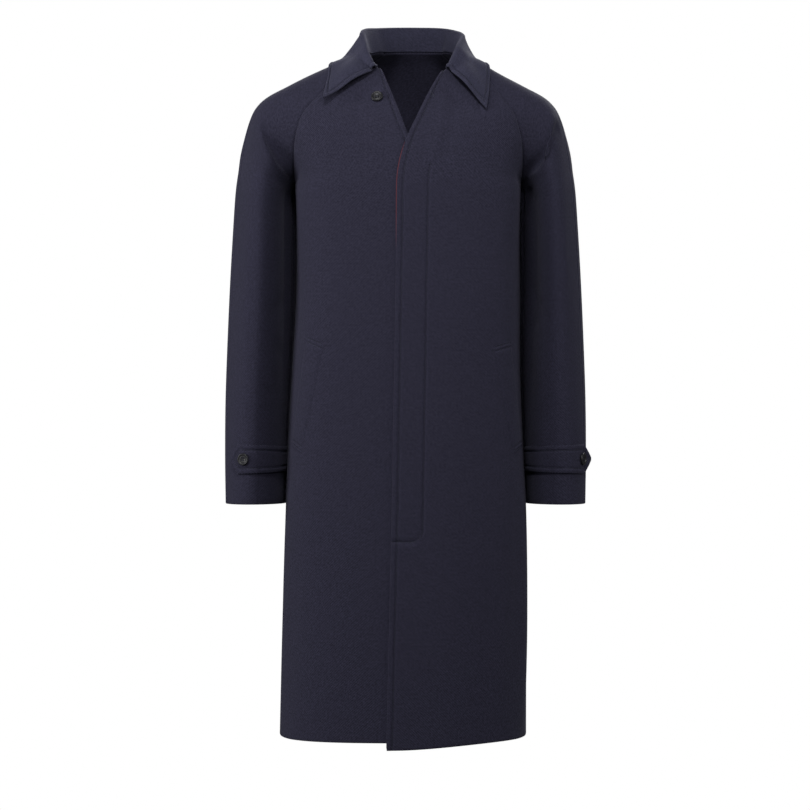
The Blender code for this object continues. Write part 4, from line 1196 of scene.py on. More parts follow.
def finer(grid):
    """A grid with extra rows and columns between its own."""
    for axis in (0, 1):
        count = grid.shape[axis]
        places = np.linspace(0, count - 1, REFINE * (count - 1) + 1)
        low = np.minimum(places.astype(int), count - 2)
        step = places - low
        step = step[:, None, None] if axis == 0 else step[None, :, None]
        grid = np.take(grid, low, axis=axis) * (1 - step) + np.take(grid, low + 1, axis=axis) * step
    return grid


def lift_clear(points, grids, normals, clearance):
    """Move points out of the panels until each is clear of the cloth that is nearest to it."""
    cloth = np.concatenate([finer(grid).reshape(-1, 3) for grid in grids.values()])
    facing = unit(np.concatenate([finer(normal).reshape(-1, 3) for normal in normals.values()]))
    lifted = points.copy()
    for place in np.ndindex(points.shape[:-1]):
        for _ in range(LIFT_ROUNDS):
            nearest = np.sum((cloth - lifted[place]) ** 2, axis=-1).argmin()
            height = np.dot(lifted[place] - cloth[nearest], facing[nearest])
            lifted[place] += max(0.0, clearance - height) * facing[nearest]
    return lifted


def collar_walls(grids, normals):
    """Outer and inner points of the collar's stand and of its fall."""
    seam = neck_seam(grids)
    lengths = distances(seam)
    behind = slice(len(seam) // 4, -len(seam) // 4)
    centre_back = np.interp(FRONT["middle"][0], seam[behind, 0], lengths[behind])
    roll = np.zeros_like(seam)
    edge = np.zeros_like(seam)
    full = np.zeros((len(seam), 1))
    for index, length in enumerate(lengths):
        side = 1 if length > centre_back else -1
        half = lengths[-1] - centre_back if side > 0 else centre_back
        rows = COLLAR_LEFT if side > 0 else COLLAR_RIGHT
        place = np.interp(abs(length - centre_back) / half, rows["share"], np.arange(len(rows["share"])))
        place = np.array([place])
        roll[index] = spread(rows, "roll_x roll_y roll_z", place)[0] * (side, 1, 1)
        edge[index] = spread(rows, "edge_x edge_y edge_z", place)[0] * (side, 1, 1)
        full[index] = along(rows["full"], place)
    run = unit(np.gradient(seam, axis=0))
    rise = unit(roll - seam)
    out = unit(np.cross(rise, run))
    away = np.sum(out[:, :2] * (seam[:, :2] - (FRONT["middle"][0], 0)), axis=-1)
    out = out * np.sign(away.mean())
    up = unit(np.cross(run, out))
    up = up * np.sign(np.sum(up * rise, axis=-1))[:, None]
    foot = seam + up * COLLAR_FOOT_GAP
    crown = roll - up * ROLL_RADIUS
    stand_outer = np.stack([foot + (crown - foot) * step for step in np.linspace(0, 1, STAND_STEPS + 1)])
    stand_inner = stand_outer - out * CLOTH
    start = crown - out * CLOTH + up * SEAM_GAP
    centre = start + out * ROLL_RADIUS
    face = []
    lining = []
    for step in np.linspace(0, 1, ROLL_STEPS + 1):
        spoke = -out * math.cos(math.pi * step) + up * math.sin(math.pi * step)
        face.append(centre + spoke * ROLL_RADIUS)
        lining.append(centre + spoke * (ROLL_RADIUS - COLLAR_CLOTH))
    top = face[-1]
    drop = np.linalg.norm(edge - top, axis=-1, keepdims=True)
    bend = top + (out * full - up * FALL_BEND_DOWN) * drop
    fall = [top * (1 - s) ** 2 + 2 * bend * s * (1 - s) + edge * s**2
            for s in np.linspace(0, 1, FALL_STEPS + 1)[1:]]
    fall = lift_clear(np.array(fall), grids, normals, COLLAR_CLOTH + COLLAR_CLEARANCE)
    fall_grid = np.concatenate((top[None], fall))
    neck_middle = np.zeros((len(fall_grid), 3))
    neck_middle[:, 0] = FRONT["middle"][0]
    fall_normals = grid_normals(fall_grid, neck_middle)
    fall_normals[0] = out
    face += list(fall)
    lining += list(fall_grid[1:] - fall_normals[1:] * COLLAR_CLOTH)
    return (stand_outer, stand_inner), (np.array(face), np.array(lining))


stand_walls, fall_walls = collar_walls(coarse, coarse_normals)
print("collar columns:", stand_walls[0].shape[1])

# %% Cloth of the collar
COLLAR_STITCH = 7.0
COLLAR_EDGE = 1.6
COLLAR_MARKS = (0, 1.2, 3.0, 5.0, 6.2, 7.0, 7.8, 9.0, 11.5, 15.0)
STITCH_PLACE = COLLAR_MARKS.index(COLLAR_STITCH)
ROLL_MARKS = (0, 1.0, 2.0)
STAND_MARKS = (0, 1.0)
COLLAR_COLUMNS = 110
FALL_ROWS = 16
STAND_ROWS = 6
LEAF_LIFT = 10.0
LEAF_FULL_SHARE = 0.5
LEAF_TIP_FALL = 0.65
LEAF_FULL = 15.0
LEAF_REACH = 62.0


def finer_both(grid, column_plan, row_plan):
    """A grid made finer along its columns, then down its rows."""
    wide, _ = finer_columns(grid, *column_plan)
    deep, _ = finer_columns(wide.transpose(1, 0, 2), *row_plan)
    return deep.transpose(1, 0, 2)


def grid_reaches(grid):
    """Distance of each point of a grid along its row and down its column."""
    across = np.array([distances(line) for line in grid])
    down = np.array([distances(line) for line in grid.transpose(1, 0, 2)]).T
    return across, down


fall = finer_both(
    fall_walls[0],
    (COLLAR_MARKS, None, COLLAR_MARKS, (COLLAR_COLUMNS,)),
    (ROLL_MARKS, None, COLLAR_MARKS, (FALL_ROWS,)),
)
fall_across, fall_down = grid_reaches(fall)
neck_middle = np.repeat(np.array([[FRONT["middle"][0], 0.0, 0.0]]), len(fall), axis=0)
fall_normals = grid_normals(fall, neck_middle)
fall_ends = np.minimum(fall_across, fall_across[:, -1:] - fall_across)
fall_share = fall_down / fall_down[-1:]
leaf_lift = LEAF_LIFT * smooth(fall_share / LEAF_FULL_SHARE)
leaf_lift = leaf_lift * (1 - LEAF_TIP_FALL * smooth((fall_share - LEAF_FULL_SHARE) / (1 - LEAF_FULL_SHARE)))
leaf_lift = leaf_lift * smooth((LEAF_REACH - fall_ends) / (LEAF_REACH - LEAF_FULL))
fall = fall + fall_normals * leaf_lift[..., None]
fall_edge = np.minimum(fall_down[-1:] - fall_down, fall_ends)
fall = fall + fall_normals * stitched_edge_heights(fall_edge, COLLAR_STITCH, COLLAR_EDGE)[..., None]
fall_normals = grid_normals(fall, neck_middle)
fall_map = np.stack((fall_across, -fall_down), axis=-1)
FALL_RIM = COLLAR_CLOTH / 2
collar_fall = add_shell(
    "cloth_collar_fall", fall, fall - fall_normals * COLLAR_CLOTH, fall_map,
    (SEAM_RIM, FALL_RIM, FALL_RIM, FALL_RIM), COLLAR_WOOL_PAINTED_LIGHT)
settle_piece(collar_fall, "collar_fall")

stand_plans = [(STAND_MARKS, None, STAND_MARKS, (count,)) for count in (COLLAR_COLUMNS, STAND_ROWS)]
stand_outer = finer_both(stand_walls[0], *stand_plans)
stand_inner = finer_both(stand_walls[1], *stand_plans)
stand_across, stand_down = grid_reaches(stand_outer)
collar_stand = add_shell(
    "cloth_collar_stand", stand_outer, stand_inner, np.stack((stand_across, -stand_down), axis=-1),
    (SEAM_RIM, FREE_RIM, SEAM_RIM, FREE_RIM), COLLAR_WOOL_PAINTED_LIGHT)
settle_piece(collar_stand, "collar_stand")
for piece in (collar_fall, collar_stand):
    print(piece.name, round(cloth_area(piece), 4), "square metres")

# %% [markdown]
# ## Stitches
# A row of stitches is the same small bow of thread, hundreds of times, along a line on the cloth. That is
# what Geometry Nodes are for: the line becomes a curve, points are set along it at the stitch pitch, and
# a bow of thread is placed on each one, turned along the line and away from the cloth. The cloth's
# direction travels with the line as an attribute. The bows are realised at the end and kept as a mesh.

# %% Geometry Nodes for a row of stitches
BOW_SIDES = 5
BOW_STEPS = 4


def stitch_tree():
    """A node tree that lays bows of thread along the edges of a mesh."""
    tree = bpy.data.node_groups.new("stitch_row", "GeometryNodeTree")
    tree.interface.new_socket("Lines", in_out="INPUT", socket_type="NodeSocketGeometry")
    for name in ("Pitch", "Length", "Thread radius", "Bow height"):
        tree.interface.new_socket(name, in_out="INPUT", socket_type="NodeSocketFloat")
    tree.interface.new_socket("Thread", in_out="INPUT", socket_type="NodeSocketMaterial")
    tree.interface.new_socket("Stitches", in_out="OUTPUT", socket_type="NodeSocketGeometry")
    given = add_node(tree, "NodeGroupInput")
    result = add_node(tree, "NodeGroupOutput")
    link = tree.links.new

    half = add_node(tree, "ShaderNodeMath", {1: 0.5}, operation="MULTIPLY")
    link(given.outputs["Length"], half.inputs[0])
    minus = add_node(tree, "ShaderNodeMath", {1: -0.5}, operation="MULTIPLY")
    link(given.outputs["Length"], minus.inputs[0])
    bow = add_node(tree, "GeometryNodeCurveQuadraticBezier", {"Resolution": BOW_STEPS})
    bow_points = (
        ("Start", "X", minus.outputs[0]),
        ("Middle", "Z", given.outputs["Bow height"]),
        ("End", "X", half.outputs[0]),
    )
    for place, axis, value in bow_points:
        vector = add_node(tree, "ShaderNodeCombineXYZ")
        link(value, vector.inputs[axis])
        link(vector.outputs["Vector"], bow.inputs[place])
    profile = add_node(tree, "GeometryNodeCurvePrimitiveCircle", {"Resolution": BOW_SIDES})
    link(given.outputs["Thread radius"], profile.inputs["Radius"])
    thread = add_node(tree, "GeometryNodeCurveToMesh", {"Fill Caps": True})
    link(bow.outputs["Curve"], thread.inputs["Curve"])
    link(profile.outputs["Curve"], thread.inputs["Profile Curve"])

    curve = add_node(tree, "GeometryNodeMeshToCurve")
    link(given.outputs["Lines"], curve.inputs["Mesh"])
    points = add_node(tree, "GeometryNodeCurveToPoints", mode="LENGTH")
    link(curve.outputs["Curve"], points.inputs["Curve"])
    link(given.outputs["Pitch"], points.inputs["Length"])
    facing = add_node(tree, "GeometryNodeInputNamedAttribute", {"Name": "facing"}, data_type="FLOAT_VECTOR")
    along_line = add_node(tree, "FunctionNodeAlignRotationToVector", axis="X")
    link(points.outputs["Tangent"], along_line.inputs["Vector"])
    off_cloth = add_node(tree, "FunctionNodeAlignRotationToVector", axis="Z", pivot_axis="X")
    link(along_line.outputs["Rotation"], off_cloth.inputs["Rotation"])
    link(facing.outputs["Attribute"], off_cloth.inputs["Vector"])
    bows = add_node(tree, "GeometryNodeInstanceOnPoints")
    link(points.outputs["Points"], bows.inputs["Points"])
    link(thread.outputs["Mesh"], bows.inputs["Instance"])
    link(off_cloth.outputs["Rotation"], bows.inputs["Rotation"])
    real = add_node(tree, "GeometryNodeRealizeInstances")
    link(bows.outputs["Instances"], real.inputs["Geometry"])
    finish = add_node(tree, "GeometryNodeSetMaterial")
    link(real.outputs["Geometry"], finish.inputs["Geometry"])
    link(given.outputs["Thread"], finish.inputs["Material"])
    link(finish.outputs["Geometry"], result.inputs["Stitches"])
    return tree


STITCH_TREE = stitch_tree()
tree_sockets = STITCH_TREE.interface.items_tree
STITCH_INPUTS = {item.name: item.identifier for item in tree_sockets if item.in_out == "INPUT"}
print("stitch tree inputs:", list(STITCH_INPUTS))

# %% Thread finish and rows of stitches
STITCH = {"Pitch": 3.3, "Length": 2.7, "Thread radius": 0.30, "Bow height": 0.75}
THREAD_LOOK = {"Roughness": 0.62, "Specular IOR Level": 0.3}
THREAD_TWIST = {"Scale": 2600.0, "Detail": 2.0}
THREAD_DARK = 0.6
FLY_POINT_STEP = 10.0
FLY_CORNER_POINTS = 10
FLY_BOTTOM_POINTS = 5
FLY_BOTTOM_END = 1.0


def thread_finish(name, colour):
    """Polished sewing thread, with a fine twist."""
    material, tree, shader = new_finish(name, THREAD_LOOK)
    place = add_node(tree, "ShaderNodeTexCoord").outputs["Object"]
    twist = add_node(tree, "ShaderNodeTexNoise", THREAD_TWIST)
    tree.links.new(place, twist.inputs["Vector"])
    dark = tuple(channel * THREAD_DARK for channel in colour) + (1.0,)
    twisted = mix_colours(tree, twist.outputs["Fac"], dark, colour + (1.0,))
    tree.links.new(twisted, shader.inputs["Base Color"])
    return material


NAVY_THREAD = thread_finish("navy_thread", (0.030, 0.032, 0.052))


def add_stitches(name, lines, sizes, finish):
    """Rows of stitches along lines, each given as its points and the cloth's directions there."""
    mesh = bpy.data.meshes.new(name + "_lines")
    starts = np.cumsum([0] + [len(points) for points, _ in lines])
    edges = [(int(start + step), int(start + step + 1))
             for start, (points, _) in zip(starts, lines) for step in range(len(points) - 1)]
    mesh.from_pydata((np.concatenate([points for points, _ in lines]) * MM).tolist(), edges, [])
    attribute = mesh.attributes.new("facing", "FLOAT_VECTOR", "POINT")
    directions = np.concatenate([facing for _, facing in lines])
    attribute.data.foreach_set("vector", directions.astype(np.float32).ravel())
    guide = add_to_scene(name + "_lines", mesh)
    rows = guide.modifiers.new("stitches", "NODES")
    rows.node_group = STITCH_TREE
    for size, value in sizes.items():
        rows[STITCH_INPUTS[size]] = value * MM
    rows[STITCH_INPUTS["Thread"]] = finish
    evaluated = guide.evaluated_get(bpy.context.evaluated_depsgraph_get())
    sewn = add_to_scene(name, bpy.data.meshes.new_from_object(evaluated))
    bpy.data.objects.remove(guide, do_unlink=True)
    sewn.data.shade_smooth()
    print(name, len(sewn.data.polygons), "faces")
    return sewn


def cloth_line(panel, across, heights):
    """Points and directions on a front at distances from its edge and at heights."""
    points = []
    facings = []
    for distance, height in zip(across, heights):
        column = [np.interp(distance, reach, np.arange(len(reach))) for reach in reaches[panel]]
        line = np.array([grid_at(panels[panel], row, place / (panels[panel].shape[1] - 1))
                         for row, place in enumerate(column)])
        row = np.interp(-height, -line[:, 2], np.arange(len(line)))
        share = np.interp(row, np.arange(len(line)), column) / (panels[panel].shape[1] - 1)
        points.append(grid_at(panels[panel], row, share))
        facings.append(unit(grid_at(normals[panel], row, share)))
    return np.array(points), np.array(facings)


edge_column = EDGE_MARKS.index(EDGE_STITCH)
lines = [(panels[panel][:, edge_column], normals[panel][:, edge_column])
         for panel in ("front_left", "front_right")]
fly_down = np.arange(FLY_TOP_Z, FLY_BOTTOM_Z + FLY_CORNER, -FLY_POINT_STEP)
turns = np.radians(np.linspace(0, 90, FLY_CORNER_POINTS))
fly_across = np.concatenate((
    np.full(len(fly_down), FLY_STITCH),
    FLY_STITCH - FLY_CORNER + FLY_CORNER * np.cos(turns),
    np.linspace(FLY_STITCH - FLY_CORNER, FLY_BOTTOM_END, FLY_BOTTOM_POINTS + 1)[1:],
))
fly_heights = np.concatenate((
    fly_down,
    FLY_BOTTOM_Z + FLY_CORNER - FLY_CORNER * np.sin(turns),
    np.full(FLY_BOTTOM_POINTS, FLY_BOTTOM_Z),
))
lines.append(cloth_line("front_left", fly_across, fly_heights))
stitches_fronts = add_stitches("stitches_fronts", lines, STITCH, NAVY_THREAD)
settle_piece(stitches_fronts, None)

leaf_rows = slice(FALL_ROWS // 2, len(fall) - STITCH_PLACE)
left_rows = np.arange(len(fall))[leaf_rows]
collar_rows = np.concatenate((
    left_rows,
    np.full(fall.shape[1] - 2 * STITCH_PLACE - 2, left_rows[-1]),
    left_rows[::-1],
))
collar_places = np.concatenate((
    np.full(len(left_rows), STITCH_PLACE),
    np.arange(STITCH_PLACE + 1, fall.shape[1] - STITCH_PLACE - 1),
    np.full(len(left_rows), fall.shape[1] - STITCH_PLACE - 1),
))
lines = [(fall[collar_rows, collar_places], fall_normals[collar_rows, collar_places])]
stitches_collar = add_stitches("stitches_collar", lines, STITCH, NAVY_THREAD)
settle_piece(stitches_collar, None)

# %% [markdown]
# ## Cuff tabs
# A tab is a doubled strip with a pointed end, sewn into the underarm seam. Its outline is first laid out
# flat, as distances round and up the sleeve, and then wrapped onto the smooth sleeve. The same outline
# moved inward is the line of its stitches, and the distance from the outline shapes its stitched edge.

# %% Flat outlines
def edge_distance(points, corners):
    """How far flat points are from an open line of corners."""
    away = []
    for start, end in zip(corners, corners[1:]):
        run = end - start
        share = np.clip(((points - start) @ run) / (run @ run), 0, 1)
        away.append(np.linalg.norm(points - start - share[..., None] * run, axis=-1))
    return np.min(away, axis=0)


def inset_corners(corners, inset):
    """An open line of corners, moved to its right by an inset and joined again where its parts cross."""
    runs = unit(np.diff(corners, axis=0))
    right = np.stack((runs[:, 1], -runs[:, 0]), axis=-1) * inset
    moved = [corners[0] + right[0]]
    for index in range(1, len(runs)):
        before = corners[index - 1] + right[index - 1]
        after = corners[index] + right[index]
        steps = np.linalg.solve(np.stack((runs[index - 1], -runs[index]), axis=1), after - before)
        moved.append(before + runs[index - 1] * steps[0])
    moved.append(corners[-1] + right[-1])
    return np.array(moved)


def walk(corners, step):
    """Points along a line of corners, about a step apart, with every corner kept."""
    points = [corners[:1]]
    for start, end in zip(corners, corners[1:]):
        count = max(2, int(np.linalg.norm(end - start) / step) + 1)
        points.append(start + (end - start) * np.linspace(0, 1, count)[1:, None])
    return np.concatenate(points)


bracket = np.array([(0.0, 9.0), (9.0, 9.0), (9.0, 0.0)])
print("a 9 mm bracket moved 2 mm inward:", inset_corners(bracket, 2.0).tolist())

# %% Wrap the tabs onto the sleeves
STRAP_CLOTH = 2.2
STRAP_GAP = 0.9
STRAP_Z = -594.0
STRAP_HALF_WIDTH_BUTTON = 21.5
STRAP_HALF_WIDTH_SEAM = 17.5
STRAP_TIP_HALF_WIDTH = 2.5
STRAP_POINT_LENGTH = 15.0
STRAP_PAST_BUTTON = 26.0
STRAP_SEAM_START = 3.0
STRAP_STITCH = 6.8
STRAP_STEP = 1.5
STRAP_STATIONS = 60
STRAP_POINT_STATIONS = 16
STRAP_ROWS = 31
BUTTON_RADIUS = 9.0
BUTTON_GAP = 1.0
STITCH_SINK = 0.9
plain_normals = {panel: grid_normals(points, panel_middles(plain, panel))
                 for panel, points in plain.items()}


def sleeve_ring(word):
    """Smooth points and directions round a sleeve, from the underarm over its front to its back."""
    rings = []
    for source in (plain, plain_normals):
        halves = (source["sleeve_front_" + word], source["sleeve_back_" + word][:, -2::-1])
        rings.append(np.concatenate(halves, axis=1)[UPPER_ROWS:])
    return rings


def ring_lengths(ring, height):
    """Distances round a sleeve at one height, for each of its columns."""
    line = [[np.interp(-height, -column[:, 2], column[:, axis]) for axis in range(3)]
            for column in ring.transpose(1, 0, 2)]
    return np.array(line), distances(np.array(line))


def ring_place(ring, facing, lengths, length, height):
    """The point of a sleeve at a distance round it and a height, with the direction out of it."""
    column = np.interp(length, lengths, np.arange(len(lengths)))
    low = min(int(column), ring.shape[1] - 2)
    heights = ring[:, low, 2] + (ring[:, low + 1, 2] - ring[:, low, 2]) * (column - low)
    row = np.interp(-height, -heights, np.arange(len(heights)))
    share = column / (ring.shape[1] - 1)
    return grid_at(ring, row, share), unit(grid_at(facing, row, share))


def make_strap(side):
    """A cuff tab with its stitches, and the seat and direction of its button."""
    word = "left" if side > 0 else "right"
    ring, facing = sleeve_ring(word)
    line, lengths = ring_lengths(ring, STRAP_Z)
    half_count = plain["sleeve_front_" + word].shape[1]
    button = np.interp(STRAPS[side]["button_x"], side * line[:half_count, 0], lengths[:half_count])
    tip = button + STRAP_PAST_BUTTON
    shoulder = tip - STRAP_POINT_LENGTH

    def lay(length, up, height):
        """A point at a height over the sleeve, with its direction; the tab's tip stands off more."""
        standing = max(0.0, (length - button - BUTTON_RADIUS) / (tip - button - BUTTON_RADIUS))
        place, direction = ring_place(ring, facing, lengths, length, STRAP_Z + up)
        return place + direction * (STRAP_GAP + standing * STRAPS[side]["tip_lift"] + height), direction

    ends = np.linspace(STRAP_SEAM_START, shoulder, STRAP_STATIONS)
    stations = np.concatenate((ends, np.linspace(shoulder, tip, STRAP_POINT_STATIONS)[1:]))
    halves = np.interp(stations, (0, shoulder, tip),
                       (STRAP_HALF_WIDTH_SEAM, STRAP_HALF_WIDTH_BUTTON, STRAP_TIP_HALF_WIDTH))
    ups = halves[:, None] * np.linspace(1, -1, STRAP_ROWS)
    flat = np.stack((np.broadcast_to(stations[:, None], ups.shape), ups), axis=-1)
    slope = (STRAP_HALF_WIDTH_BUTTON - STRAP_TIP_HALF_WIDTH) / STRAP_POINT_LENGTH
    apex = tip + STRAP_TIP_HALF_WIDTH / slope
    outline = np.array([
        (STRAP_SEAM_START, halves[0]), (shoulder, STRAP_HALF_WIDTH_BUTTON), (apex, 0.0),
        (shoulder, -STRAP_HALF_WIDTH_BUTTON), (STRAP_SEAM_START, -halves[0]),
    ])
    heights = stitched_edge_heights(edge_distance(flat, outline), STRAP_STITCH)
    outer = np.array([[lay(*place, STRAP_CLOTH + height)[0] for place, height in zip(*row)]
                      for row in zip(flat, heights)])
    inner = np.array([[lay(*place, 0.0)[0] for place in row] for row in flat])
    rim = STRAP_CLOTH / 2
    strap = add_shell("cloth_cuff_strap_" + word, outer, inner, flat, (SEAM_RIM, rim, rim, rim), SHELL_WOOL)
    settle_piece(strap, "cuff_strap_" + word)
    path = walk(inset_corners(outline, STRAP_STITCH), STRAP_STEP)
    laid = [lay(*place, STRAP_CLOTH - STITCH_SINK) for place in path]
    sewn = add_stitches("stitches_cuff_strap_" + word,
                        [tuple(np.array(column) for column in zip(*laid))], STITCH, NAVY_THREAD)
    settle_piece(sewn, None)
    return strap, lay(button, 0.0, STRAP_CLOTH + BUTTON_GAP)


seats = {}
for side, word in ((1, "left"), (-1, "right")):
    cloth["cuff_strap_" + word], seats["cuff_button_" + word] = make_strap(side)
    print("cuff tab", word, round(cloth_area(cloth["cuff_strap_" + word]), 5), "square metres")

# %% [markdown]
# ## Pocket welts
# Each pocket has a slanted welt, pressed so flat that only its two sewn-down ends show. The welt is
# a thin strip on the creased front, with two grooves of stitches across each end and soft long edges.

# %% Lay the welts on the fronts
WELT_HEIGHT = 1.3
WELT_LIFT = 0.15
WELT_STEPS_ALONG = 14
WELT_STEPS_ACROSS = 6
WELT_FINE_ALONG = 40
WELT_FINE_ACROSS = 4
WELT_STITCHED = slice(2, -2)
WELT_END_STITCHES = (1.6, 7.6)
WELT_GROOVE = 1.3
WELT_GROOVE_WIDTH = 1.1
WELT_EDGE_FALL = 1.0
WELT_EDGE_WIDTH = 3.2
WELT_END_MARKS = (0, 0.5, 1.0, 1.6, 2.2, 3.0, 5.0, 6.6, 7.1, 7.6, 8.1, 8.8, 11.0)
WELT_SIDE_MARKS = (0, 0.8, 1.8, 3.2, 5.0)


def lying_place(panel, x, height):
    """The point of a front at true x and height, below the underarm, with the direction out of it."""
    grid = panels[panel][UPPER_ROWS:]
    rows = np.array([np.interp(-height, -grid[:, column, 2], np.arange(len(grid)))
                     for column in range(grid.shape[1])])
    shares = np.linspace(0, 1, grid.shape[1])
    level = np.array([grid_at(grid, row, share)[0] for row, share in zip(rows, shares)])
    order = np.argsort(level)
    share = np.interp(x, level[order], shares[order])
    row = np.interp(share, shares, rows)
    return grid_at(grid, row, share), unit(grid_at(normals[panel][UPPER_ROWS:], row, share))


def make_welt(side):
    """A pocket welt with the stitches of its ends."""
    word = "left" if side > 0 else "right"
    corners = WELTS[side]
    base = []
    facing = []
    for down in np.linspace(0, 1, WELT_STEPS_ALONG):
        ends = {name: column[0] + (column[1] - column[0]) * down for name, column in corners.items()}
        xs = np.linspace(ends["inner_x"], ends["outer_x"], WELT_STEPS_ACROSS)
        zs = np.linspace(ends["inner_z"], ends["outer_z"], WELT_STEPS_ACROSS)
        places = [lying_place("front_" + word, side * x, z) for x, z in zip(xs, zs)]
        base.append([place for place, _ in places])
        facing.append([direction for _, direction in places])
    across_plan = (WELT_SIDE_MARKS, None, WELT_SIDE_MARKS, (WELT_FINE_ACROSS,))
    down_plan = (WELT_END_MARKS, None, WELT_END_MARKS, (WELT_FINE_ALONG,))
    fine = finer_both(np.array(base), across_plan, down_plan)
    shares = [np.linspace(0, size - 1, count) for size, count in zip(fine.shape, np.shape(base)[:2])]
    steps = [np.interp(np.arange(size), share, np.arange(len(share)))
             for size, share in zip(fine.shape, shares)]
    fine_facing = np.array([[unit(grid_at(np.array(facing), row, column / (WELT_STEPS_ACROSS - 1)))
                             for column in steps[1]] for row in steps[0]])
    across, down = grid_reaches(fine)
    from_side = np.minimum(across, across[:, -1:] - across)
    from_end = np.minimum(down, down[-1:] - down)
    heights = WELT_HEIGHT - WELT_EDGE_FALL * bell(from_side, WELT_EDGE_WIDTH)
    for place in WELT_END_STITCHES:
        heights = heights - WELT_GROOVE * bell(from_end - place, WELT_GROOVE_WIDTH)
    outer = fine + fine_facing * heights[..., None]
    rim = WELT_HEIGHT / 4
    welt = add_shell("cloth_pocket_welt_" + word, outer, fine + fine_facing * WELT_LIFT,
                     np.stack((across, -down), axis=-1), (rim, rim, rim, rim), SHELL_WOOL)
    settle_piece(welt, "pocket_welt_" + word)
    lines = []
    for place in WELT_END_STITCHES:
        row = WELT_END_MARKS.index(place)
        lines += [(outer[end, WELT_STITCHED], fine_facing[end, WELT_STITCHED])
                  for end in (row, len(outer) - 1 - row)]
    sewn = add_stitches("stitches_pocket_welt_" + word, lines, STITCH, NAVY_THREAD)
    settle_piece(sewn, None)
    return welt


for side, word in ((1, "left"), (-1, "right")):
    cloth["pocket_welt_" + word] = make_welt(side)
    print("welt", word, round(cloth_area(cloth["pocket_welt_" + word]), 5), "square metres")

# %% [markdown]
# ## Buttons
# The buttons are turned from dark horn: a round rim, a shallow ring inside it and a dished middle with
# four holes. A profile is spun round its axis, and four rods are taken out of it with a Boolean modifier,
# whose result is kept as a plain mesh. Two bars of thread hold each one.

# %% Horn finish
HORN_LOOK = {"Specular IOR Level": 0.26}
HORN_LAYERS = {"Scale": 210.0, "Detail": 4.0, "Roughness": 0.6, "Distortion": 1.4}
HORN_WEAR = {"To Min": 0.28, "To Max": 0.42}


def horn_finish(name, dark, pale):
    """Polished horn with faint layers."""
    material, tree, shader = new_finish(name, HORN_LOOK)
    place = add_node(tree, "ShaderNodeTexCoord").outputs["Object"]
    layers = add_node(tree, "ShaderNodeTexNoise", HORN_LAYERS)
    tree.links.new(place, layers.inputs["Vector"])
    tree.links.new(mix_colours(tree, layers.outputs["Fac"], dark, pale), shader.inputs["Base Color"])
    wear = add_node(tree, "ShaderNodeMapRange", HORN_WEAR)
    tree.links.new(layers.outputs["Fac"], wear.inputs["Value"])
    tree.links.new(wear.outputs["Result"], shader.inputs["Roughness"])
    return material


DARK_HORN = horn_finish("dark_horn", dark=(0.004, 0.004, 0.005, 1.0), pale=(0.020, 0.020, 0.023, 1.0))
print("button finish:", DARK_HORN.name)

# %% Turn the buttons and drill their holes
BUTTON_PROFILE = table(
    "radius height",
    (0.0, 2.15), (3.3, 2.15), (3.8, 2.30), (4.3, 2.42), (4.9, 2.36), (5.5, 2.20), (6.0, 2.34), (6.5, 2.85),
    (7.0, 3.20), (7.6, 3.38), (8.1, 3.34), (8.6, 3.05), (8.9, 2.60), (9.0, 2.05), (9.0, 1.20), (8.8, 0.60),
    (8.4, 0.20), (7.8, 0.0), (0.0, 0.0),
)
BUTTON_SIDES = 64
HOLE_SIDES = 20
HOLE_RADIUS = 1.0
HOLE_PITCH = 1.9
HOLE_DEPTH = 12.0
BUTTON_SHARP = 40.0
MERGE_DISTANCE = 0.01
THREAD_TOP = 2.3
BUTTON_THREAD = {"Pitch": 50.0, "Length": 4.2, "Thread radius": 0.42, "Bow height": 1.1}


def turned_mesh(name, profile, sides):
    """A closed mesh, spun from a profile round the Z axis."""
    shape = bmesh.new()
    points = [shape.verts.new((radius * MM, 0, height * MM)) for radius, height in zip(*profile.values())]
    edges = [shape.edges.new(pair) for pair in zip(points, points[1:])]
    bmesh.ops.spin(shape, geom=points + edges, cent=(0, 0, 0), axis=(0, 0, 1),
                   angle=math.tau, steps=sides, use_merge=True)
    bmesh.ops.remove_doubles(shape, verts=shape.verts, dist=MERGE_DISTANCE * MM)
    bmesh.ops.recalc_face_normals(shape, faces=shape.faces)
    mesh = bpy.data.meshes.new(name)
    shape.to_mesh(mesh)
    shape.free()
    return mesh


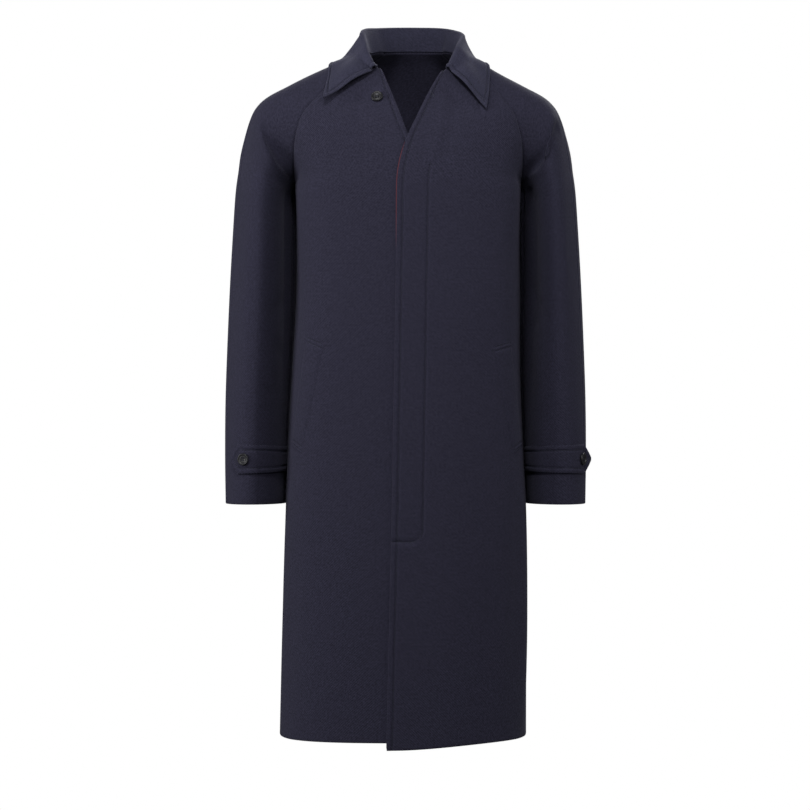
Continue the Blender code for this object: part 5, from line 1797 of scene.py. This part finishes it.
def add_button(name, seat, direction):
    """A drilled button on its seat, with its thread."""
    blank = add_to_scene(name + "_blank", turned_mesh(name + "_blank", BUTTON_PROFILE, BUTTON_SIDES))
    drill = bmesh.new()
    holes = [(x * HOLE_PITCH, y * HOLE_PITCH) for x in (-1, 1) for y in (-1, 1)]
    for x, y in holes:
        rod = bmesh.ops.create_cone(drill, cap_ends=True, segments=HOLE_SIDES, depth=HOLE_DEPTH * MM,
                                    radius1=HOLE_RADIUS * MM, radius2=HOLE_RADIUS * MM)
        bmesh.ops.translate(drill, verts=rod["verts"], vec=(x * MM, y * MM, 0))
    rods = add_to_scene(name + "_rods", bpy.data.meshes.new(name + "_rods"))
    drill.to_mesh(rods.data)
    drill.free()
    cut = blank.modifiers.new("holes", "BOOLEAN")
    cut.operation = "DIFFERENCE"
    cut.object = rods
    drilled = bpy.data.meshes.new_from_object(blank.evaluated_get(bpy.context.evaluated_depsgraph_get()))
    for helper in (blank, rods):
        bpy.data.objects.remove(helper, do_unlink=True)
    turn = Vector(direction).to_track_quat("Z", "Y").to_matrix().to_4x4()
    turn.translation = Vector(seat) * MM
    drilled.transform(turn)
    drilled.materials.clear()
    drilled.materials.append(DARK_HORN)
    drilled.shade_smooth()
    drilled.set_sharp_from_angle(angle=math.radians(BUTTON_SHARP))
    button = add_to_scene("horn_" + name, drilled)
    settle_piece(button, name)
    bars = []
    for y in (-HOLE_PITCH, HOLE_PITCH):
        ends = [np.array(turn @ (Vector((x, y, THREAD_TOP)) * MM)) / MM for x in (0.0, HOLE_PITCH)]
        bars.append((np.array(ends), np.array([direction, direction])))
    thread = add_stitches("thread_" + name, bars, BUTTON_THREAD, NAVY_THREAD)
    settle_piece(thread, None)
    return button


def neck_place(panel, x, height):
    """The point of a front nearest to a true x and height, above the underarm, with its direction."""
    grid = plain[panel][:UPPER_ROWS]
    away = np.hypot(grid[..., 0] - x, grid[..., 2] - height)
    row, column = np.unravel_index(away.argmin(), away.shape)
    direction = plain_normals[panel][row, column]
    step = np.array([x - grid[row, column, 0], 0.0, height - grid[row, column, 2]])
    step[1] = -(step[0] * direction[0] + step[2] * direction[2]) / direction[1]
    return grid[row, column] + step, direction


place, direction = neck_place("front_right", NECK_BUTTON_X, NECK_BUTTON_Z)
seats["neck_button"] = (place + direction * BUTTON_GAP, direction)
for name, (seat, direction) in seats.items():
    button = add_button(name, seat, direction)
    print(button.name, len(button.data.polygons), "faces at", [round(float(value), 1) for value in seat])

# %% [markdown]
# ## Piping and buttonhole
# A thin wine-red piping is sewn in behind the left front's edge, and peeps out below the neck. At the
# neck, the left front has one worked buttonhole: two ropes of close stitches beside a slit.

# %% Wine-red piping
PIPING_TOP = -112.0
PIPING_BOTTOM = -400.0
PIPING_RADIUS = 0.72
PIPING_THIN = 0.30
PIPING_STEPS = 80
PIPING_SIDES = 8
PIPING_ASIDE = 1.75
PIPING_HIDDEN = 0.2
PIPING_SHOWN = 0.25
PIPING_FADED = 0.80
PIPING_UNDER = 1.6
PIPING_TAPER = 6
PIPING_INNER_COLUMN = 4


def piping_cord():
    """Points and faces of the piping, round, and hidden more and more on its way down."""
    grid = panels["front_left"]
    edge = grid[:, 0]
    heights = np.linspace(PIPING_TOP, PIPING_BOTTOM, PIPING_STEPS)
    rows = np.interp(-heights, -edge[:, 2], np.arange(len(edge)))
    vertices = []
    for step, row in enumerate(rows):
        share = step / (PIPING_STEPS - 1)
        shown = 1 - smooth((share - PIPING_SHOWN) / (PIPING_FADED - PIPING_SHOWN))
        reach = PIPING_HIDDEN + (PIPING_ASIDE - PIPING_HIDDEN) * shown
        radius = PIPING_THIN + (PIPING_RADIUS - PIPING_THIN) * shown
        facing = unit(grid_at(normals["front_left"], row, 0.0))
        aside = edge[int(row)] - grid[int(row), PIPING_INNER_COLUMN]
        aside = unit(aside - np.dot(aside, facing) * facing)
        centre = grid_at(grid, row, 0.0) + aside * reach - facing * PIPING_UNDER
        radius = radius * min(1.0, (1 + min(step, PIPING_STEPS - 1 - step)) / PIPING_TAPER)
        for angle in np.linspace(0, math.tau, PIPING_SIDES, endpoint=False):
            vertices.append(centre + radius * (math.cos(angle) * aside + math.sin(angle) * facing))
    faces = []
    for ring in range(PIPING_STEPS - 1):
        for corner in range(PIPING_SIDES):
            after = (corner + 1) % PIPING_SIDES
            near, far = ring * PIPING_SIDES, (ring + 1) * PIPING_SIDES
            faces.append((near + corner, near + after, far + after, far + corner))
    last = (PIPING_STEPS - 1) * PIPING_SIDES
    faces += [tuple(range(PIPING_SIDES)), tuple(range(last, last + PIPING_SIDES))]
    return vertices, faces


WINE_CORD = thread_finish("wine_cord", (0.085, 0.008, 0.017))
piping = add_object("fly_piping_cord", *piping_cord(), WINE_CORD)
settle_piece(piping, "fly_piping")
print(piping.name, len(piping.data.polygons), "faces")

# %% Buttonhole at the neck
BUTTONHOLE_ACROSS = (2.2, 15.0)
BUTTONHOLE_HEIGHTS = (-34.0, -43.0)
BUTTONHOLE_HALF_GAP = 0.9
BUTTONHOLE_POINTS = 8
ROPE = {"Pitch": 0.75, "Length": 1.25, "Thread radius": 0.32, "Bow height": 0.9}
ropes = []
for up in (BUTTONHOLE_HALF_GAP, -BUTTONHOLE_HALF_GAP):
    across = np.linspace(*BUTTONHOLE_ACROSS, BUTTONHOLE_POINTS)
    heights = np.linspace(*BUTTONHOLE_HEIGHTS, BUTTONHOLE_POINTS) + up
    ropes.append(cloth_line("front_left", across, heights))
buttonhole = add_stitches("stitches_buttonhole", ropes, ROPE, NAVY_THREAD)
settle_piece(buttonhole, None)

# %% [markdown]
# ## The sheets
# ## The cloth pieces
# The collar's two pieces join the other pieces of cloth in one table. The areas were measured on the
# finished pieces, and the rectangles along and across them. A panel hangs on the pieces that hold it up,
# and a small piece lies on the panel below it.

cloth["collar_fall"] = collar_fall
cloth["collar_stand"] = collar_stand
